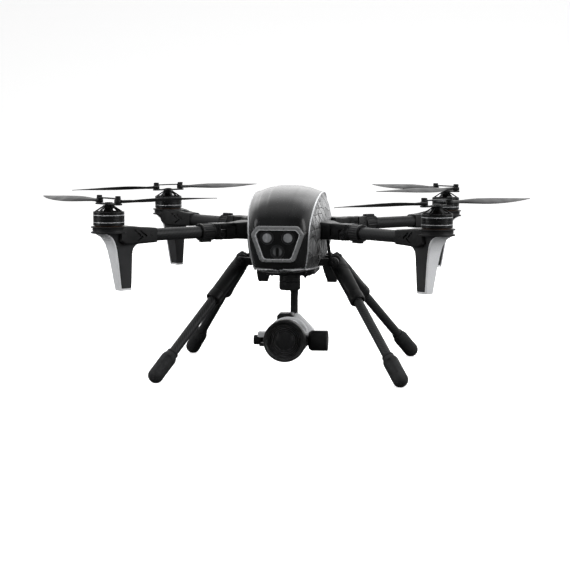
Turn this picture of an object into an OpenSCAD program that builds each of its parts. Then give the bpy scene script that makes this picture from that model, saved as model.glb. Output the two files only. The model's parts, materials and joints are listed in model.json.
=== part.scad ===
// Camera quadcopter with four folding arms, swing-up landing legs and a stabilised camera gimbal.
// Origin on the ground under the middle of the four motors. The nose points to -Y and +Z is up.

/* [Airframe] */
// Distance between the shafts of two motors on one diagonal
wheelbase = 650; // [630:5:680]
// Height of the arm tubes' centre line above the ground
arm_z = 217; // [215:0.5:219]
// Distance from the middle of the airframe to each fold hinge
hinge_r = 133; // [130:1:136]
// Height of the fold hinge pins above the ground
hinge_z = 212; // [211:0.5:213]
// Yaw of each hinge pin away from square to its arm, so that a folding arm passes beside its leg
hinge_yaw = 22; // [18:1:26]
// Outer radius of the carbon arm tubes
arm_tube_r = 9; // [8:0.5:9]

/* [Body shell] */
// Distance from the origin forward to the nose face
nose_reach = 155; // [150:1:160]
// Distance from the origin back to the tail
tail_reach = 182; // [180:1:190]
// Half width of the body at its widest
body_half_w = 61; // [60:1:63]
// Top of the canopy above the ground
body_top = 281; // [278:1:284]
// Underside of the belly above the ground
body_bottom = 154; // [153:0.5:155]
// Wall thickness of the covers
wall = 2; // [1.6:0.1:2.4]

/* [Motors and propellers] */
// Outer radius of a motor bell
bell_r = 22; // [21:0.5:23]
// Height of the motor mounts' top face above the ground
mount_top = 232; // [231:0.5:233]
// Half the distance between the two blade bolts of a propeller
bolt_offset = 24; // [22:0.5:26]
// Length of a blade from its bolt to its tip
blade_len = 166; // [150:1:170]
// Widest chord of a blade
blade_chord = 30; // [24:1:32]

/* [Landing legs] */
// Half distance between the left and right feet
foot_x = 177.5; // [170:0.5:182]
// Distance of the feet in front of and behind the middle
foot_y = 161.5; // [156:0.5:166]
// Radius of the rubber boots
boot_r = 11.6; // [10:0.2:13]
// Half distance between the two leg pivots
pivot_x = 71; // [70:0.5:72]
// Height of the leg pivots above the ground
pivot_z = 168; // [166:0.5:169]

/* [Gimbal camera] */
// Height of the lens centre above the ground
lens_z = 52; // [50:0.5:54]
// Distance of the lens front ahead of the yaw axis
lens_reach = 75; // [70:1:80]
// Outer radius of the lens front ring
lens_ring_r = 31.5; // [30:0.5:33]
// Radius of the filter thread in the lens front
filter_r = 27.5; // [26:0.5:28]

/* [Hidden] */
$fn = 64;
small_gap = 0.3;
running_fit = 0.05;

CORNERS = ["front_left", "front_right", "rear_left", "rear_right"];
ARM_PARTS = ["arm_tube", "arm_knuckle", "locking_collar", "motor_mount", "winglet_cover",
             "motor_stator", "motor_bell", "prop_hub", "blade_a", "blade_b"];
BODY_PARTS = ["main_frame", "hinge_pins", "top_shell", "belly_shell", "side_panels",
              "nose_bezel", "nose_cameras", "circuit_boards", "gear_motors",
              "battery_pack", "power_button", "legs_left", "legs_right",
              "foot_boots_left", "foot_boots_right", "gimbal_mount", "gimbal_yaw_arm",
              "gimbal_roll_arm", "camera_body", "camera_lens"];

// Each corner's arm direction and the side that its hinge pin leads to
azimuth = [-135, -45, 135, 45];
side = [1, -1, -1, 1];
// The side that blade a is bolted on, and the direction that blade b points in, along its own arm
blade_a_side = [-1, -1, -1, 1];
blade_b_angle = [180, 90, 90, 180];
// Front collars carry their thumb ridge below, rear ones above
ridge_up = [-1, -1, 1, 1];

motor_r = wheelbase / 2;

// Fold hinge
pin_r = 3;
pin_head_r = 5;
barrel_r = 7;
tongue_half_w = 5.7;
fork_half_w = 12;
fork_slot_half_w = 6;
knuckle_end = hinge_r + 13;
arm_half_h = 12;
sleeve_len = 22;
sleeve_r = arm_tube_r + 1.4;
collar_r = 12.5;

// Motor mount and winglet
clamp_start = motor_r - 75;
tube_end = motor_r - 29;
drum_h = 9.5;
lip_r = 25.5;
drum_r = 23;
winglet_bottom = arm_z - 77;
cover_t = 3;

// Motor
bell_bottom = mount_top + 1.6;
bell_top = bell_bottom + 19.4;
bell_wall = 1.8;
shaft_r = 2.5;
hub_top = bell_top + 9.2;

// Propeller
plate_t = 2.1;
plate_gap = 6;
blade_z = hub_top + small_gap + plate_t + plate_gap / 2;
bolt_r = 2;
eye_r = 5.4;

// Body: where the shells part, and the space that the battery needs
split_z = arm_z;
battery_half_w = 32;
battery_front = 42;
battery_rear = tail_reach - 1;
battery_low = body_bottom + 14;
battery_high = 203;
deck_z = 205;
deck_t = 4;
deck_half_w = 38;
board_z = arm_z + 14;
taper_x = 27;
taper_z = 177;
taper_lean = 17;
taper_yaw = 26;

// Landing legs
leg_hub_y = -8;
leg_hub_half_w = 15;
leg_shaft_half = 38;
leg_shaft_r = 5;
bracket_y = [leg_hub_y - 29, leg_hub_y + 29];
sleeve_start = 0.06;
sleeve_share = 0.36;
leg_sleeve_r = 11;
leg_tube_r = 6.5;
boot_len = 50;
ball_z = boot_r - 0.6;

// Gimbal
pitch_y = -40;
pitch_z = 49.5;
roll_z = 50;
gimbal_can_r = 15;
gimbal_shaft_r = 4;
gimbal_split_z = 134.8;
plate_low = 145.2;
neck_y = 60;
neck_r = 5.5;
roll_arm_y = 32;
limb_x = 42;
camera_rear = 16;
drum_camera_r = 31;
lens_neck_r = 22;

// Outline of the body seen from above, drawn in by g
function plan_outline(g) = let (
    half = [[-nose_reach + g, 37], [-nose_reach + 6, 42], [-120, 50], [-80, 56.5],
            [-40, body_half_w - 0.5], [10, body_half_w], [50, 59], [100, 53], [140, 47],
            [tail_reach - g, 38]])
    concat([for (p = half) [p[1] - g, p[0]]],
           [for (i = [len(half) - 1:-1:0]) [g - half[i][1], half[i][0]]]);

// Outline of the central cover seen from above: the side panels start outside it
function spine_outline(g) = let (
    half = [[-nose_reach - 1, 36.5], [-nose_reach + 12, 43], [-100, 49.5], [-40, 53.5], [30, 54],
            [90, 49], [140, 43], [tail_reach + 1, 36]])
    concat([for (p = half) [p[1] - g, p[0]]],
           [for (i = [len(half) - 1:-1:0]) [g - half[i][1], half[i][0]]]);

// Outline of the body seen from the side, as [y, z]
function side_outline(g) = [
    [-nose_reach + g, 171 + g], [-nose_reach + 7, 163 + g], [-120, 157.5 + g],
    [-60, body_bottom + g], [60, body_bottom + g], [120, 157 + g], [tail_reach - g, 165 + g],
    [tail_reach - g, 222 - g], [130, 252 - g], [70, 273 - g], [10, body_top - g],
    [-50, body_top - 1 - g], [-90, 273 - g], [-125, 259 - g], [-nose_reach + 7, 243 - g],
    [-nose_reach + g, 232 - g]];

// Outline of the body seen from the front, as [x, z]
function front_outline(g) = let (
    half = [[22, body_bottom + g], [33, 157.5 + g], [46 - g, 164.5 + g / 2], [51 - g, 174],
            [57 - g, 192], [body_half_w - g, 212], [60 - g, 238], [55 - g, 260 - g / 2],
            [42 - g, 273 - g], [18, body_top - g]])
    concat(half, [for (i = [len(half) - 1:-1:0]) [-half[i][0], half[i][1]]]);

// The nose bezel's outline as [x, z], drawn in by g
function bezel_outline(g) = let (
    half = [[22 - g, 177 + g], [25.5 - g, 179 + g], [38.6 - g, 218], [37.8 - g, 225 - g / 2],
            [33 - g, 229 - g]])
    concat(half, [for (i = [len(half) - 1:-1:0]) [-half[i][0], half[i][1]]]);

// ---------------------------------------------------------------- helpers

module at_corner(c) {
    rotate([0, 0, azimuth[c]])
        mirror([0, side[c] < 0 ? 1 : 0, 0])
            children();
}

module both_sides() {
    children();
    mirror([1, 0, 0]) children();
}

// Lays an [x, z] outline in the XZ plane, from y0 to y1
module extrude_y(y0, y1) {
    translate([0, y1, 0])
        rotate([90, 0, 0])
            linear_extrude(y1 - y0)
                children();
}

// Lays a [y, z] outline in the YZ plane, from x0 to x1
module extrude_x(x0, x1) {
    translate([x0, 0, 0])
        rotate([90, 0, 90])
            linear_extrude(x1 - x0)
                children();
}

module rod_x(x0, x1, r) {
    translate([x0, 0, 0])
        rotate([0, 90, 0])
            cylinder(h = x1 - x0, r = r);
}

module rod_y(y0, y1, r) {
    translate([0, y0, 0])
        rotate([-90, 0, 0])
            cylinder(h = y1 - y0, r = r);
}

// A round bar from a towards b, starting and ending at the shares s0 and s1 of the way
module bar(a, b, s0, s1, r0, r1) {
    way = b - a;
    len = norm(way);
    translate(a + way * s0)
        rotate([0, acos(way[2] / len), atan2(way[1], way[0])])
            cylinder(h = len * (s1 - s0), r1 = r0, r2 = r1);
}

// ---------------------------------------------------------------- body

module body_form(g) {
    difference() {
        intersection() {
            linear_extrude(body_top + 10) polygon(plan_outline(g));
            extrude_x(-body_half_w - 1, body_half_w + 1) polygon(side_outline(g));
            extrude_y(-nose_reach - 1, tail_reach + 1) polygon(front_outline(g));
        }
        both_sides() nose_taper(g);
    }
}

// What is cut away beside the nose, so that it narrows towards its lower front edge
module nose_taper(g) {
    translate([taper_x, -nose_reach, taper_z])
        rotate([0, taper_lean, -taper_yaw])
            translate([-g, -150, -150])
                cube([120, 300, 300]);
}

module spine_form(g) {
    intersection() {
        body_form(g);
        linear_extrude(body_top + 10) polygon(spine_outline(g));
    }
}

// The room that the four arm roots take up in the covers
module root_room() {
    for (a = azimuth)
        rotate([0, 0, a])
            translate([20, -fork_half_w - 0.6, deck_z - 0.6])
                cube([hinge_r, 2 * fork_half_w + 1.2, 2 * arm_half_h + 1.2]);
}

// The room that the leg pivot brackets take up
module bracket_room() {
    both_sides()
        for (y = bracket_y)
            translate([deck_half_w - 6, y - 6.5, pivot_z - 10])
                cube([45, 13, 20]);
}

module nose_opening() {
    extrude_y(-nose_reach - 1, -nose_reach + 8) polygon(bezel_outline(4.2));
}

module battery_opening() {
    translate([-battery_half_w - 0.6, battery_front - 1, battery_low - 0.6])
        cube([2 * battery_half_w + 1.2, tail_reach, battery_high - battery_low + 1.2]);
}

module cover_between(z0, z1) {
    difference() {
        intersection() {
            spine_form(0);
            translate([-80, -nose_reach - 5, z0])
                cube([160, nose_reach + tail_reach + 10, z1 - z0]);
        }
        intersection() {
            spine_form(wall);
            translate([-80, -nose_reach - 5, z0 - 1])
                cube([160, nose_reach + tail_reach + 10, z1 - z0 + 2]);
        }
        root_room();
        nose_opening();
        battery_opening();
    }
}

module top_shell() {
    color([0.07, 0.07, 0.08])
        cover_between(split_z + small_gap / 2, body_top + 1);
}

module belly_shell() {
    color([0.06, 0.06, 0.07])
        difference() {
            union() {
                cover_between(body_bottom - 1, split_z - small_gap / 2);
                both_sides() antenna_pod();
            }
            bracket_room();
        }
}

// A small tapered pod that hangs from the belly behind the gimbal
module antenna_pod() {
    intersection() {
        extrude_y(96, 122)
            polygon([[47, 124], [63, 124], [66, 140], [56, 165.6], [36, 165.6], [36, 156]]);
        extrude_x(30, 68)
            polygon([[101, 124], [116, 124], [122, 140], [122, 174], [96, 174], [97, 140]]);
    }
}

module side_panels() {
    color([0.72, 0.72, 0.74])
        both_sides()
            difference() {
                intersection() {
                    body_form(0);
                    translate([20, -nose_reach + 8, 166])
                        cube([60, nose_reach + tail_reach - 26, 104]);
                }
                linear_extrude(body_top + 10) polygon(spine_outline(-small_gap));
                intersection() {
                    body_form(1.6);
                    translate([20, -nose_reach + 24, 170])
                        cube([60, nose_reach + tail_reach - 60, 92]);
                }
                root_room();
                bracket_room();
            }
}

module nose_bezel() {
    color([0.78, 0.78, 0.8])
        difference() {
            extrude_y(-nose_reach - 5, -nose_reach - small_gap) polygon(bezel_outline(0));
            extrude_y(-nose_reach - 6, -nose_reach) polygon(bezel_outline(4));
        }
}

// The dark window and the three camera barrels behind it
module nose_cameras() {
    color([0.02, 0.02, 0.025])
        extrude_y(-nose_reach - 3, -nose_reach - 1) polygon(bezel_outline(4.4));
    color([0.3, 0.3, 0.32])
        for (eye = [[-15, 212], [15, 212], [0, 192]])
            translate([eye[0], 0, eye[1]])
                rod_y(-nose_reach - 0.7, -nose_reach + 14, 9.5);
}

// Deck, diagonal beams, hinge tongues and leg pivot brackets in one carbon-filled casting
module main_frame() {
    color([0.13, 0.13, 0.14])
        difference() {
            union() {
                translate([-deck_half_w, -120, deck_z])
                    cube([2 * deck_half_w, 240, deck_t]);
                for (c = [0:3])
                    at_corner(c) arm_root();
                both_sides()
                    for (y = bracket_y)
                        leg_bracket(y);
            }
            both_sides()
                translate([pivot_x, 0, pivot_z])
                    rod_y(leg_hub_y - 60, leg_hub_y + 60, leg_shaft_r + running_fit);
        }
}

module leg_bracket(y) {
    translate([deck_half_w - 4, y - 6, pivot_z - 5])
        cube([4, 12, deck_z - pivot_z + 6]);
    translate([deck_half_w - 4, y - 6, pivot_z - 5])
        cube([pivot_x - deck_half_w, 12, 10]);
    translate([pivot_x, 0, pivot_z])
        rod_y(y - 6, y + 6, 8.5);
}

module in_hinge_frame() {
    translate([hinge_r, 0, 0])
        rotate([0, 0, -hinge_yaw])
            children();
}

// The fixed half of a fold hinge: a beam from the deck and a round tongue
module arm_root() {
    top_z = arm_z + arm_half_h;
    difference() {
        union() {
            difference() {
                translate([30, -fork_half_w + 0.5, deck_z])
                    cube([hinge_r, 2 * fork_half_w - 1, top_z - deck_z]);
                in_hinge_frame()
                    translate([-0.6, -40, deck_z - 1])
                        cube([80, 80, 60]);
                in_hinge_frame()
                    translate([0, 0, hinge_z])
                        rod_y(-40, 40, barrel_r + 0.8);
                in_hinge_frame()
                    translate([-barrel_r - 0.8, -40, deck_z - 1])
                        cube([40, 80, hinge_z - deck_z + 1]);
            }
            in_hinge_frame() {
                translate([0, 0, hinge_z])
                    rod_y(-tongue_half_w, tongue_half_w, barrel_r);
                translate([-barrel_r - 8, -tongue_half_w, hinge_z - barrel_r])
                    cube([barrel_r + 8, 2 * tongue_half_w, 2 * barrel_r]);
            }
        }
        in_hinge_frame()
            translate([0, 0, hinge_z])
                rod_y(-20, 20, pin_r + 0.02);
        translate([0, 0, arm_z])
            rod_x(60, hinge_r - 20, 5);
    }
}

module hinge_pins() {
    color([0.75, 0.75, 0.77])
        for (c = [0:3])
            at_corner(c)
                in_hinge_frame()
                    translate([0, 0, hinge_z]) {
                        rod_y(-fork_half_w, fork_half_w, pin_r);
                        rod_y(fork_half_w + 0.1, fork_half_w + 2, pin_head_r);
                        rod_y(fork_half_w - 1, fork_half_w + 0.2, pin_r);
                    }
}

module circuit_boards() {
    color([0.05, 0.22, 0.12])
        for (level = [0, 14])
            translate([-30, -95, board_z + level])
                cube([60, 150 - 2 * level, 1.6]);
    color([0.12, 0.12, 0.12])
        for (chip = [[-18, -80, 18], [6, -60, 14], [-10, -20, 22]])
            translate([chip[0], chip[1], board_z + 1.6])
                cube([chip[2], chip[2], 2.4]);
}

module gear_motors() {
    color([0.35, 0.35, 0.37])
        both_sides()
            translate([deck_half_w + 2, 0, pivot_z + 8])
                rod_y(-100, leg_hub_y - leg_shaft_half - 2, 6);
}

module battery_pack() {
    color([0.12, 0.12, 0.13])
        difference() {
            translate([-battery_half_w, battery_front, battery_low])
                cube([2 * battery_half_w, battery_rear - battery_front, battery_high - battery_low]);
            translate([18, 0, battery_high - 14])
                rod_y(battery_rear - 6, battery_rear + 1, 5.3);
            for (x = [-1, 1])
                translate([x * (battery_half_w - 6) - 3, battery_rear - 3, battery_low + 8])
                    cube([6, 4, 18]);
        }
}

module power_button() {
    color([0.8, 0.8, 0.82])
        translate([18, 0, battery_high - 14])
            rod_y(battery_rear - 3.6, battery_rear + 1, 5);
}

// ---------------------------------------------------------------- landing legs

function foot(sy) = [foot_x, sy * foot_y, ball_z];
leg_head = [pivot_x, leg_hub_y, pivot_z];

// One side's two legs: their sleeves meet in a hub that swings on a shaft
module leg_pair() {
    translate([pivot_x, 0, pivot_z]) {
        rod_y(leg_hub_y - leg_shaft_half, leg_hub_y + leg_shaft_half, leg_shaft_r);
        rod_y(leg_hub_y - leg_hub_half_w, leg_hub_y + leg_hub_half_w, leg_sleeve_r + 1);
    }
    for (sy = [-1, 1]) {
        bar(leg_head, foot(sy), sleeve_start, sleeve_share, leg_sleeve_r, leg_sleeve_r);
        bar(leg_head, foot(sy), sleeve_share - 0.01, 0.94, leg_tube_r, leg_tube_r);
    }
}

// Rubber boots: a ball end and a tapered neck, cut flat where they stand
module boot_pair() {
    for (sy = [-1, 1])
        difference() {
            union() {
                translate(foot(sy)) sphere(r = boot_r);
                bar(foot(sy), leg_head, 0, 0.14, boot_r - 0.1, boot_r - 0.1);
                bar(foot(sy), leg_head, 0.139, 0.21, boot_r - 0.2, leg_tube_r + 1.6);
            }
            bar(foot(sy), leg_head, 0.058, 0.3, leg_tube_r + 0.02, leg_tube_r + 0.02);
            translate([foot_x - 30, sy * foot_y - 30, -20]) cube([60, 60, 20]);
        }
}

module legs_right() {
    color([0.1, 0.1, 0.11]) leg_pair();
}

module legs_left() {
    color([0.1, 0.1, 0.11]) mirror([1, 0, 0]) leg_pair();
}

module foot_boots_right() {
    color([0.04, 0.04, 0.04]) boot_pair();
}

module foot_boots_left() {
    color([0.04, 0.04, 0.04]) mirror([1, 0, 0]) boot_pair();
}

// ---------------------------------------------------------------- arms

module arm_tube() {
    color([0.12, 0.12, 0.13])
        translate([0, 0, arm_z])
            difference() {
                rod_x(knuckle_end + 2, tube_end, arm_tube_r);
                rod_x(knuckle_end, tube_end + 1, arm_tube_r - 1.4);
            }
}

// The moving half of a fold hinge: a fork and the sleeve that holds the tube
module arm_knuckle() {
    color([0.09, 0.09, 0.1])
        difference() {
            union() {
                intersection() {
                    translate([hinge_r - 20, -fork_half_w, arm_z - arm_half_h + 0.5])
                        cube([knuckle_end - hinge_r + 20, 2 * fork_half_w, 2 * arm_half_h - 0.5]);
                    in_hinge_frame()
                        translate([0, -40, 0])
                            cube([60, 80, 300]);
                }
                in_hinge_frame()
                    translate([0, 0, hinge_z])
                        rod_y(-fork_half_w, fork_half_w, barrel_r);
                translate([0, 0, arm_z])
                    rod_x(knuckle_end - 1, knuckle_end + sleeve_len, sleeve_r);
            }
            in_hinge_frame() {
                translate([-20, -fork_slot_half_w, 0])
                    cube([20 + barrel_r + 0.8, 2 * fork_slot_half_w, hinge_z + barrel_r + 1]);
                translate([0, 0, hinge_z]) {
                    rod_y(-20, 20, pin_r + running_fit);
                    rod_y(fork_half_w, 30, pin_head_r + 0.5);
                }
            }
            translate([0, 0, arm_z])
                rod_x(knuckle_end + 1.8, knuckle_end + sleeve_len + 1, arm_tube_r + 0.02);
        }
}

// Twist sleeve with a thumb ridge that locks the unfolded arm
module locking_collar(up) {
    color([0.11, 0.11, 0.12])
        translate([0, 0, arm_z])
            difference() {
                union() {
                    rod_x(knuckle_end + small_gap, knuckle_end + sleeve_len + 2, collar_r);
                    translate([knuckle_end + 3, -4, up > 0 ? collar_r - 2 : -collar_r - 2.5])
                        cube([sleeve_len - 4, 8, 4.5]);
                }
                rod_x(knuckle_end, knuckle_end + sleeve_len + 3, sleeve_r + running_fit);
            }
}

// Winglet outline seen from the side of the arm, drawn in at its outer edge by g
function winglet_side(g) = [
    [motor_r - 33.4, winglet_bottom + g], [motor_r - 17 - g, winglet_bottom + g],
    [motor_r - 11 - g, winglet_bottom + 38], [motor_r - 3 - g, winglet_bottom + 66],
    [motor_r + 6 - g, winglet_bottom + 76], [motor_r + 18 - g, mount_top - drum_h + 0.2],
    [motor_r - 34, mount_top - drum_h + 0.2], [motor_r - 32, winglet_bottom + 60]];

module winglet_form(g) {
    intersection() {
        rotate([90, 0, 0])
            linear_extrude(60, center = true)
                polygon(winglet_side(g));
        translate([motor_r, 0, 0])
            extrude_x(-60, 60)
                polygon([[-6.5, winglet_bottom - 1], [6.5, winglet_bottom - 1], [12, arm_z - 12],
                         [16, mount_top], [-16, mount_top], [-12, arm_z - 12]]);
        union() {
            translate([motor_r, 0, 0]) cylinder(h = 300, r = lip_r);
            translate([motor_r - 60, -30, 0]) cube([60, 60, 300]);
            cylinder(h = arm_z, r = motor_r);
        }
    }
}

module motor_mount() {
    color([0.1, 0.1, 0.11])
        difference() {
            union() {
                translate([motor_r, 0, mount_top - drum_h]) {
                    cylinder(h = drum_h, r = drum_r);
                    cylinder(h = 2, r = lip_r);
                    translate([0, 0, drum_h - 1.6]) cylinder(h = 1.6, r = lip_r);
                }
                winglet_form(cover_t + small_gap);
                arm_clamp();
            }
            translate([0, 0, arm_z])
                rod_x(clamp_start - 1, tube_end + 1, arm_tube_r + 0.02);
            translate([motor_r, 0, mount_top - 3])
                cylinder(h = 4, r = bell_r - 1);
            for (x = [clamp_start + 8, clamp_start + 26])
                translate([x, 0, arm_z])
                    rod_y(-30, 30, 1.6);
        }
}

// The fairing that clamps the tube: its sides widen and its top rises towards the drum
module arm_clamp() {
    intersection() {
        rotate([90, 0, 0])
            linear_extrude(60, center = true)
                polygon([[clamp_start, arm_z - 10.5], [motor_r - 20, arm_z - 11.5],
                         [motor_r - 10, mount_top - drum_h], [motor_r - 10, mount_top],
                         [motor_r - 26, mount_top], [clamp_start + 20, arm_z + 12],
                         [clamp_start, arm_z + 10.5]]);
        linear_extrude(300)
            polygon([[clamp_start, -10.5], [clamp_start + 25, -12], [motor_r - 8, -21],
                     [motor_r - 8, 21], [clamp_start + 25, 12], [clamp_start, 10.5]]);
    }
}

module winglet_cover() {
    color([0.74, 0.74, 0.76])
        difference() {
            winglet_form(0);
            translate([0, 0, -0.01]) winglet_form_block();
            translate([motor_r, 0, mount_top - drum_h - small_gap]) cylinder(h = 20, r = lip_r + 5);
        }
}

// The winglet's core and all that lies on its body side, grown to leave a gap under the cover
module winglet_form_block() {
    rotate([90, 0, 0])
        linear_extrude(70, center = true)
            polygon(concat([[motor_r - 60, winglet_bottom + cover_t]],
                           [for (i = [1:5]) winglet_side(cover_t)[i]],
                           [[motor_r + 18, mount_top + 5], [motor_r - 60, mount_top + 5]]));
}

module motor_stator() {
    color([0.6, 0.38, 0.2])
        translate([motor_r, 0, 0])
            difference() {
                union() {
                    translate([0, 0, mount_top - 3 + 0.1]) cylinder(h = 4.2, r = bell_r - 1.4);
                    translate([0, 0, mount_top]) cylinder(h = 18, r = 6);
                    difference() {
                        translate([0, 0, mount_top + 5]) cylinder(h = 12, r = bell_r - 3.4);
                        for (k = [0:11])
                            rotate([0, 0, 30 * k])
                                translate([9, -1, mount_top + 4])
                                    cube([20, 2, 14]);
                    }
                }
                translate([0, 0, mount_top + 1.5]) cylinder(h = 20, r = shaft_r + running_fit);
            }
}

module motor_bell() {
    color([0.08, 0.08, 0.09])
        translate([motor_r, 0, 0]) {
            difference() {
                translate([0, 0, bell_bottom]) cylinder(h = bell_top - bell_bottom, r = bell_r);
                translate([0, 0, bell_bottom - 1])
                    cylinder(h = bell_top - bell_bottom + 2, r = bell_r - bell_wall);
            }
            for (k = [0:5])
                rotate([0, 0, 60 * k + 15])
                    rotate([90, 0, 0])
                        linear_extrude(3.6, center = true)
                            polygon([[bell_r - 2.4, bell_top - 3], [bell_r - 0.6, bell_top - 0.8],
                                     [7, hub_top - 0.6], [5, hub_top - 0.6], [5, hub_top - 4]]);
            translate([0, 0, hub_top - 5]) cylinder(h = 5, r = 8);
            translate([0, 0, mount_top + 2]) cylinder(h = hub_top - mount_top - 3, r = shaft_r);
        }
}

// Two plates with a bolt at each end: the blades swing between them
module prop_hub() {
    color([0.1, 0.1, 0.11])
        translate([motor_r, 0, hub_top + 0.1]) {
            translate([0, 0, 0]) hub_plate(6, plate_t);
            cylinder(h = plate_t, r = 9);
            translate([0, 0, plate_t + plate_gap + 0.2]) hub_plate(4.2, 1.6);
            for (s = [-1, 1])
                translate([0, s * bolt_offset, 0]) {
                    cylinder(h = plate_t + plate_gap + 3, r = bolt_r);
                    translate([0, 0, plate_t + plate_gap + 0.2]) cylinder(h = 4.4, r = 3.6, $fn = 6);
                }
        }
}

module hub_plate(half_w, t) {
    translate([-half_w, -bolt_offset, 0]) cube([2 * half_w, 2 * bolt_offset, t]);
    for (s = [-1, 1])
        translate([0, s * bolt_offset, 0]) cylinder(h = t, r = half_w);
}

// Blade chord, twist and thickness at the share s of its length
function chord(s) = s < 0.12 ? 9
    : s < 0.45 ? 9 + (blade_chord - 9) * sin(90 * (s - 0.12) / 0.33)
    : 2.5 + (blade_chord - 2.5) * cos(90 * pow((s - 0.45) / 0.55, 1.1));
function twist(s) = 18 - 12 * s;
function thickness(s) = 4.2 - 3.1 * s;

module blade_section(s) {
    c = chord(s);
    translate([s * blade_len, -4 + (c - 9) * 0.42, 0])
        rotate([-twist(s), 0, 0])
            rotate([90, 0, 90])
                linear_extrude(0.2)
                    polygon([for (a = [0:30:330]) [c / 2 * cos(a), thickness(s) / 2 * sin(a)]]);
}

// A blade that points along +X from its bolt, for a propeller that turns clockwise from above
module blade() {
    stations = [0.02, 0.14, 0.28, 0.42, 0.6, 0.78, 0.93, 0.9985];
    color([0.4, 0.4, 0.42])
        difference() {
            union() {
                translate([0, 0, -plate_gap / 2 + 0.15]) cylinder(h = plate_gap - 0.3, r = eye_r);
                for (i = [0:len(stations) - 2])
                    hull() {
                        blade_section(stations[i]);
                        blade_section(stations[i + 1]);
                    }
            }
            translate([0, 0, -10]) cylinder(h = 20, r = bolt_r + running_fit);
        }
}

module placed_blade(c, s, angle) {
    translate([motor_r, s * bolt_offset, blade_z])
        rotate([0, 0, angle])
            blade();
}

// ---------------------------------------------------------------- gimbal

module gimbal_mount() {
    color([0.07, 0.07, 0.08]) {
        translate([-40, -22, plate_low]) cube([80, 92, body_bottom - 0.2 - plate_low]);
        translate([0, 0, gimbal_split_z + 0.1])
            cylinder(h = body_bottom - gimbal_split_z - 2, r = gimbal_can_r);
        translate([0, 0, 124]) cylinder(h = 14, r = gimbal_shaft_r);
    }
}

module gimbal_yaw_arm() {
    color([0.07, 0.07, 0.08])
        difference() {
            union() {
                translate([0, 0, 121.5]) cylinder(h = gimbal_split_z - 121.7, r = gimbal_can_r);
                translate([0, 0, 128]) rod_y(6, neck_y, neck_r);
                translate([0, neck_y, 128]) sphere(r = neck_r);
                translate([0, neck_y, roll_z]) cylinder(h = 128 - roll_z, r = neck_r);
                translate([0, 0, roll_z]) rod_y(neck_y - 15, neck_y + 8, 13);
            }
            translate([0, 0, 123.7]) cylinder(h = 20, r = gimbal_shaft_r + running_fit);
            translate([0, 0, roll_z]) rod_y(neck_y - 20, neck_y + 4, gimbal_shaft_r + running_fit);
        }
}

// A bracket from the roll shaft round the camera's side to the pitch motor
module gimbal_roll_arm() {
    color([0.07, 0.07, 0.08])
        difference() {
            union() {
                translate([0, 0, roll_z]) {
                    rod_y(roll_arm_y, neck_y - 15.4, 12);
                    rod_y(roll_arm_y, neck_y + 3.6, gimbal_shaft_r);
                }
                translate([0, roll_arm_y, pitch_z - 6]) cube([limb_x + 10, 7, 12]);
                translate([limb_x, pitch_y, pitch_z - 6])
                    cube([10, roll_arm_y - pitch_y + 1, 12]);
                translate([0, pitch_y, pitch_z]) {
                    rod_x(31, 60.5, gimbal_can_r);
                    rod_x(29, 31.1, gimbal_can_r - 3);
                }
            }
            translate([0, pitch_y, pitch_z])
                rod_x(28, 50, gimbal_shaft_r + running_fit);
        }
}

// The camera's drum, and the band round the lens that carries the pitch shaft and a knob
module camera_body() {
    color([0.7, 0.7, 0.72])
        difference() {
            union() {
                translate([0, 0, lens_z]) {
                    rod_y(-20, camera_rear - 5, drum_camera_r);
                    rod_y(camera_rear - 6, camera_rear, 28);
                    rod_y(pitch_y - 8, -19, lens_neck_r + 2.6);
                }
                translate([-18, -19, lens_z + 24]) cube([26, 28, 11]);
                translate([0, pitch_y, pitch_z]) {
                    rod_x(20, 49.6, gimbal_shaft_r);
                    rod_x(20, 28.7, gimbal_shaft_r + 3);
                    rod_x(-42, -20, gimbal_shaft_r);
                    rod_x(-50, -41, 6.5);
                }
            }
            translate([0, 0, lens_z]) rod_y(pitch_y - 9, -6, lens_neck_r + running_fit);
        }
}

// The lens barrel with its stepped front ring, and the front glass
module camera_lens() {
    color([0.05, 0.05, 0.05])
        translate([0, 0, lens_z])
            difference() {
                union() {
                    rod_y(-lens_reach, pitch_y - gimbal_can_r - 0.5, lens_ring_r);
                    rod_y(pitch_y - gimbal_can_r - 1, -6.2, lens_neck_r);
                }
                rod_y(-lens_reach - 1, -lens_reach + 5, filter_r);
                rod_y(-lens_reach + 4, -lens_reach + 16, filter_r - 3);
            }
    color([0.2, 0.22, 0.26])
        translate([0, 0, lens_z])
            rod_y(-lens_reach + 8, -lens_reach + 12, filter_r - 3.1);
}

// ---------------------------------------------------------------- assembly

main_frame();
hinge_pins();
top_shell();
belly_shell();
side_panels();
nose_bezel();
nose_cameras();
circuit_boards();
gear_motors();
battery_pack();
power_button();
legs_left();
legs_right();
foot_boots_left();
foot_boots_right();
gimbal_mount();
gimbal_yaw_arm();
gimbal_roll_arm();
camera_body();
camera_lens();

for (c = [0:3]) {
    at_corner(c) arm_tube();
    at_corner(c) arm_knuckle();
    at_corner(c) locking_collar(ridge_up[c]);
    at_corner(c) motor_mount();
    at_corner(c) winglet_cover();
    at_corner(c) motor_stator();
    at_corner(c) motor_bell();
    at_corner(c) prop_hub();
    at_corner(c) placed_blade(c, blade_a_side[c], 90 * blade_a_side[c]);
    at_corner(c) placed_blade(c, -blade_a_side[c], blade_b_angle[c]);
}
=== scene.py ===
import json
import math
import random

import bmesh
import bpy
from mathutils import Matrix, Vector
from mathutils.geometry import delaunay_2d_cdt


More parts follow.
